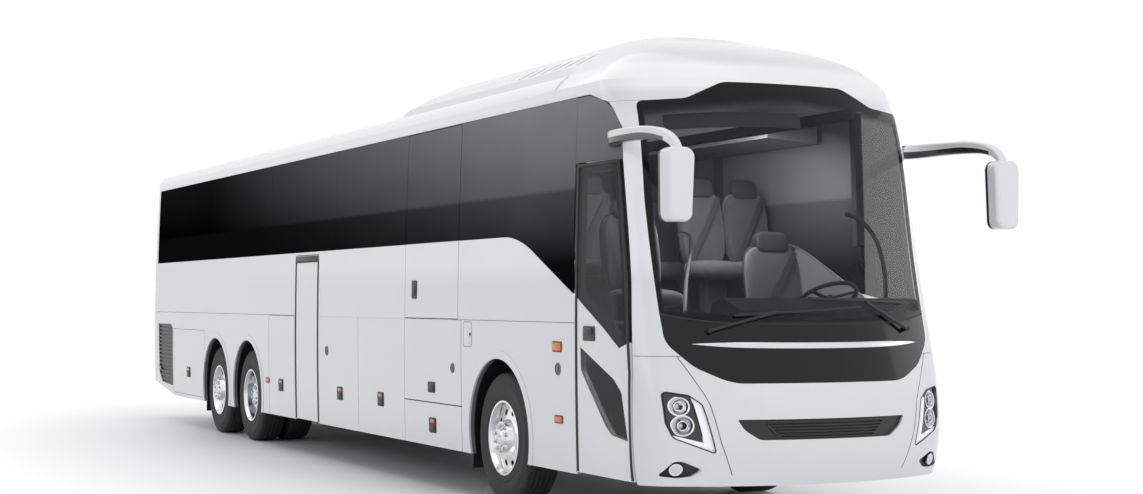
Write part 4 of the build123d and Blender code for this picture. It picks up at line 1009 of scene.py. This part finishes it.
def cushionForm(count, centre, half, tilt, crown, pinch):
    # superellipsoid: p = half * (cos^0.42 a cos^0.36 b, cos^0.42 a sin^0.36 b, sin^0.6 a), signs kept,
    # its sides pulled in by pinch * (1 - y^2) and its top swollen by crown * (1 - x^2)(1 - y^2)
    rows, cols = count
    a = np.linspace(-math.pi / 2, math.pi / 2, rows)[:, None]
    b = np.linspace(0, 2 * math.pi, cols, endpoint=False)[None, :]
    ring = power(np.cos(a), 0.42)
    x, y, z = ring * power(np.cos(b), 0.36), ring * power(np.sin(b), 0.36), power(np.sin(a), 0.6) + 0 * b
    x, y = x * (1 - pinch * (1 - y * y)), y * (1 - pinch * (1 - x * x))
    swell = crown * (1 - np.clip(x, -1, 1) ** 2) * (1 - np.clip(y, -1, 1) ** 2) * np.sign(z)
    p = np.stack([x * half[0], y * half[1], z * half[2] + swell], -1).reshape(-1, 3)
    c, s = math.cos(tilt), math.sin(tilt)
    turned = np.stack([c * p[:, 0] + s * p[:, 2], p[:, 1], c * p[:, 2] - s * p[:, 0]], -1)
    return turned + centre, gridFaces(rows, cols, False, True)


# parts of a seat: rows and columns, place (x, z), half size (its y a share of the seat's), tilt, crown, pinch
seatParts = {"cushion": ((13, 28), (0.02, 0.440), (0.232, 1.0, 0.062), 0.045, 0.012, 0.03),
             "back": ((13, 28), (-0.215, 0.780), (0.052, 1.0, 0.315), -0.185, 0.0, 0.03),
             "headrest": ((11, 20), (-0.262, 1.115), (0.045, 0.62, 0.085), -0.19, 0.0, 0.04),
             "shell": ((9, 20), (-0.262, 0.770), (0.020, 0.98, 0.335), -0.185, 0.0, 0.0),
             "foot": ((9, 16), (-0.02, 0.185), (0.075, 0.55, 0.183), 0.0, 0.0, 0.06)}


def seatPart(kind, x, y, deck, half):
    count, (along, up), size, *bends = seatParts[kind]
    return cushionForm(count, (x + along, y, deck + up), (size[0], half * size[1], size[2]), *bends)


# no seats on the right by the middle door and the emergency door
deckZ, cabZ, seatPitch, firstRow, rowCount = 1.44, 0.96, 0.8, 0.35, 15
doorways = ((-5.81, -4.25), (-2.1, -0.842))
seatHalf, seatOff, pairY = 0.205, 0.2175, 0.735
places = []
for i in range(rowCount):
    x = firstRow - i * seatPitch
    for side in (-1, 1):
        if side > 0 or not any(low < x < high for low, high in doorways):
            places += [(x, side * (pairY + off), deckZ, seatHalf) for off in (-seatOff, seatOff)]
cabPlaces = [(1.42, 0.56, cabZ, 0.245), (1.15, -0.56, 1.2, 0.245)]
beltSection = [(-0.023, 0.0), (0.023, 0.0), (0.023, 0.0016), (-0.023, 0.0016)]
for name, spots, node in (("passenger", places, "passenger_seats"), ("front", cabPlaces, "front_seats")):
    bases, backs, rests, belts, shells = [], [], [], [], []
    for spot in spots:
        x, y, deck, half = spot
        bases.append(seatPart("cushion", *spot))
        backs.append(seatPart("back", *spot))
        rests.append(seatPart("headrest", *spot))
        # shell behind the back and the box frame under the cushion
        shells += [seatPart("shell", *spot), seatPart("foot", *spot)]
        # belt from the shoulder to the hip, bulging 14 mm forward
        s = np.linspace(0, 1, 14)[:, None]
        start = np.array((x - 0.205, y + half * 0.78, deck + 1.045))
        end = np.array((x - 0.085, y - half * 0.80, deck + 0.515))
        path = start * (1 - s) + end * s + np.array((0.014, 0, 0)) * np.sin(s * math.pi)
        belts.append(carried(path, beltSection, (0.97, 0, 0.22)))
    base = newPiece(f"{name}_seat_cushions", *joined(bases), cloth, "seat_cloth")
    backPiece = newPiece(f"{name}_seat_backs", *joined(backs), cloth, "seat_cloth")
    rest = newPiece(f"{name}_headrests", *joined(rests), seatLeather, "seat_cloth")
    for piece in (base, backPiece, rest):
        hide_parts(node)
    newPiece(f"{name}_belts", *joined(belts), beltWeb, "seat_cloth")
    newPiece(f"{name}_seat_shells", *joined(shells), shellPlastic, "black_trim")
print("seats")


# cab: two handrails and the blind at the top of the screen
def railTube(points, radius, up):
    # Catmull-Rom curve through the points, with a round section
    points = np.array(points)
    s = np.linspace(0, len(points) - 1, 60)
    k = np.clip(s.astype(int), 0, len(points) - 2)
    f = (s - k)[:, None]
    p0, p1, p2, p3 = (points[np.clip(k + step, 0, len(points) - 1)] for step in (-1, 0, 1, 2))
    square, cube = 2 * p0 - 5 * p1 + 4 * p2 - p3, 3 * p1 - p0 - 3 * p2 + p3
    path = 0.5 * (2 * p1 + (p2 - p0) * f + square * f ** 2 + cube * f ** 3)
    return carried(path, circle(0, 0, radius, 14), up)


stairRail = [(1.86, -0.60, 1.00), (1.86, -0.60, 1.45), (1.84, -0.58, 1.75), (1.76, -0.50, 1.98),
             (1.60, -0.42, 2.10), (1.42, -0.40, 2.12)]
windowRail = [(1.98, 1.07, 1.58), (1.99, 1.06, 1.80), (1.99, 1.01, 2.01), (1.97, 0.95, 2.14),
              (1.94, 0.85, 2.24), (1.90, 0.76, 2.28)]
stairTube = railTube(stairRail, 0.016, (0.05, 1, 0.02))
newPiece("cab_handrail", *stairTube, alloySatin, "wheel_alloy")
windowTube = railTube(windowRail, 0.017, (1, 0.05, 0.02))
newPiece("window_handrail", *windowTube, shellPlastic, "black_trim")

# section (out, z) of the blind, lowered by 0.04 y^2 to the sides
blindRows = 30
blindSection = np.array([(-0.070, 2.97), (-0.075, 2.90), (-0.080, 2.86), (-0.087, 2.86), (-0.085, 2.97)])
y = np.linspace(-0.95, 0.10, blindRows)[:, None]
blind = onFront(y, blindSection[None, :, 1] - 0.04 * np.abs(y) ** 2, blindSection[None, :, 0])
blindFaces = tubeFaces(blindRows, len(blindSection))
newPiece("sun_blind", blind.reshape(-1, 3), blindFaces, shellPlastic, "black_trim")
print("cab")
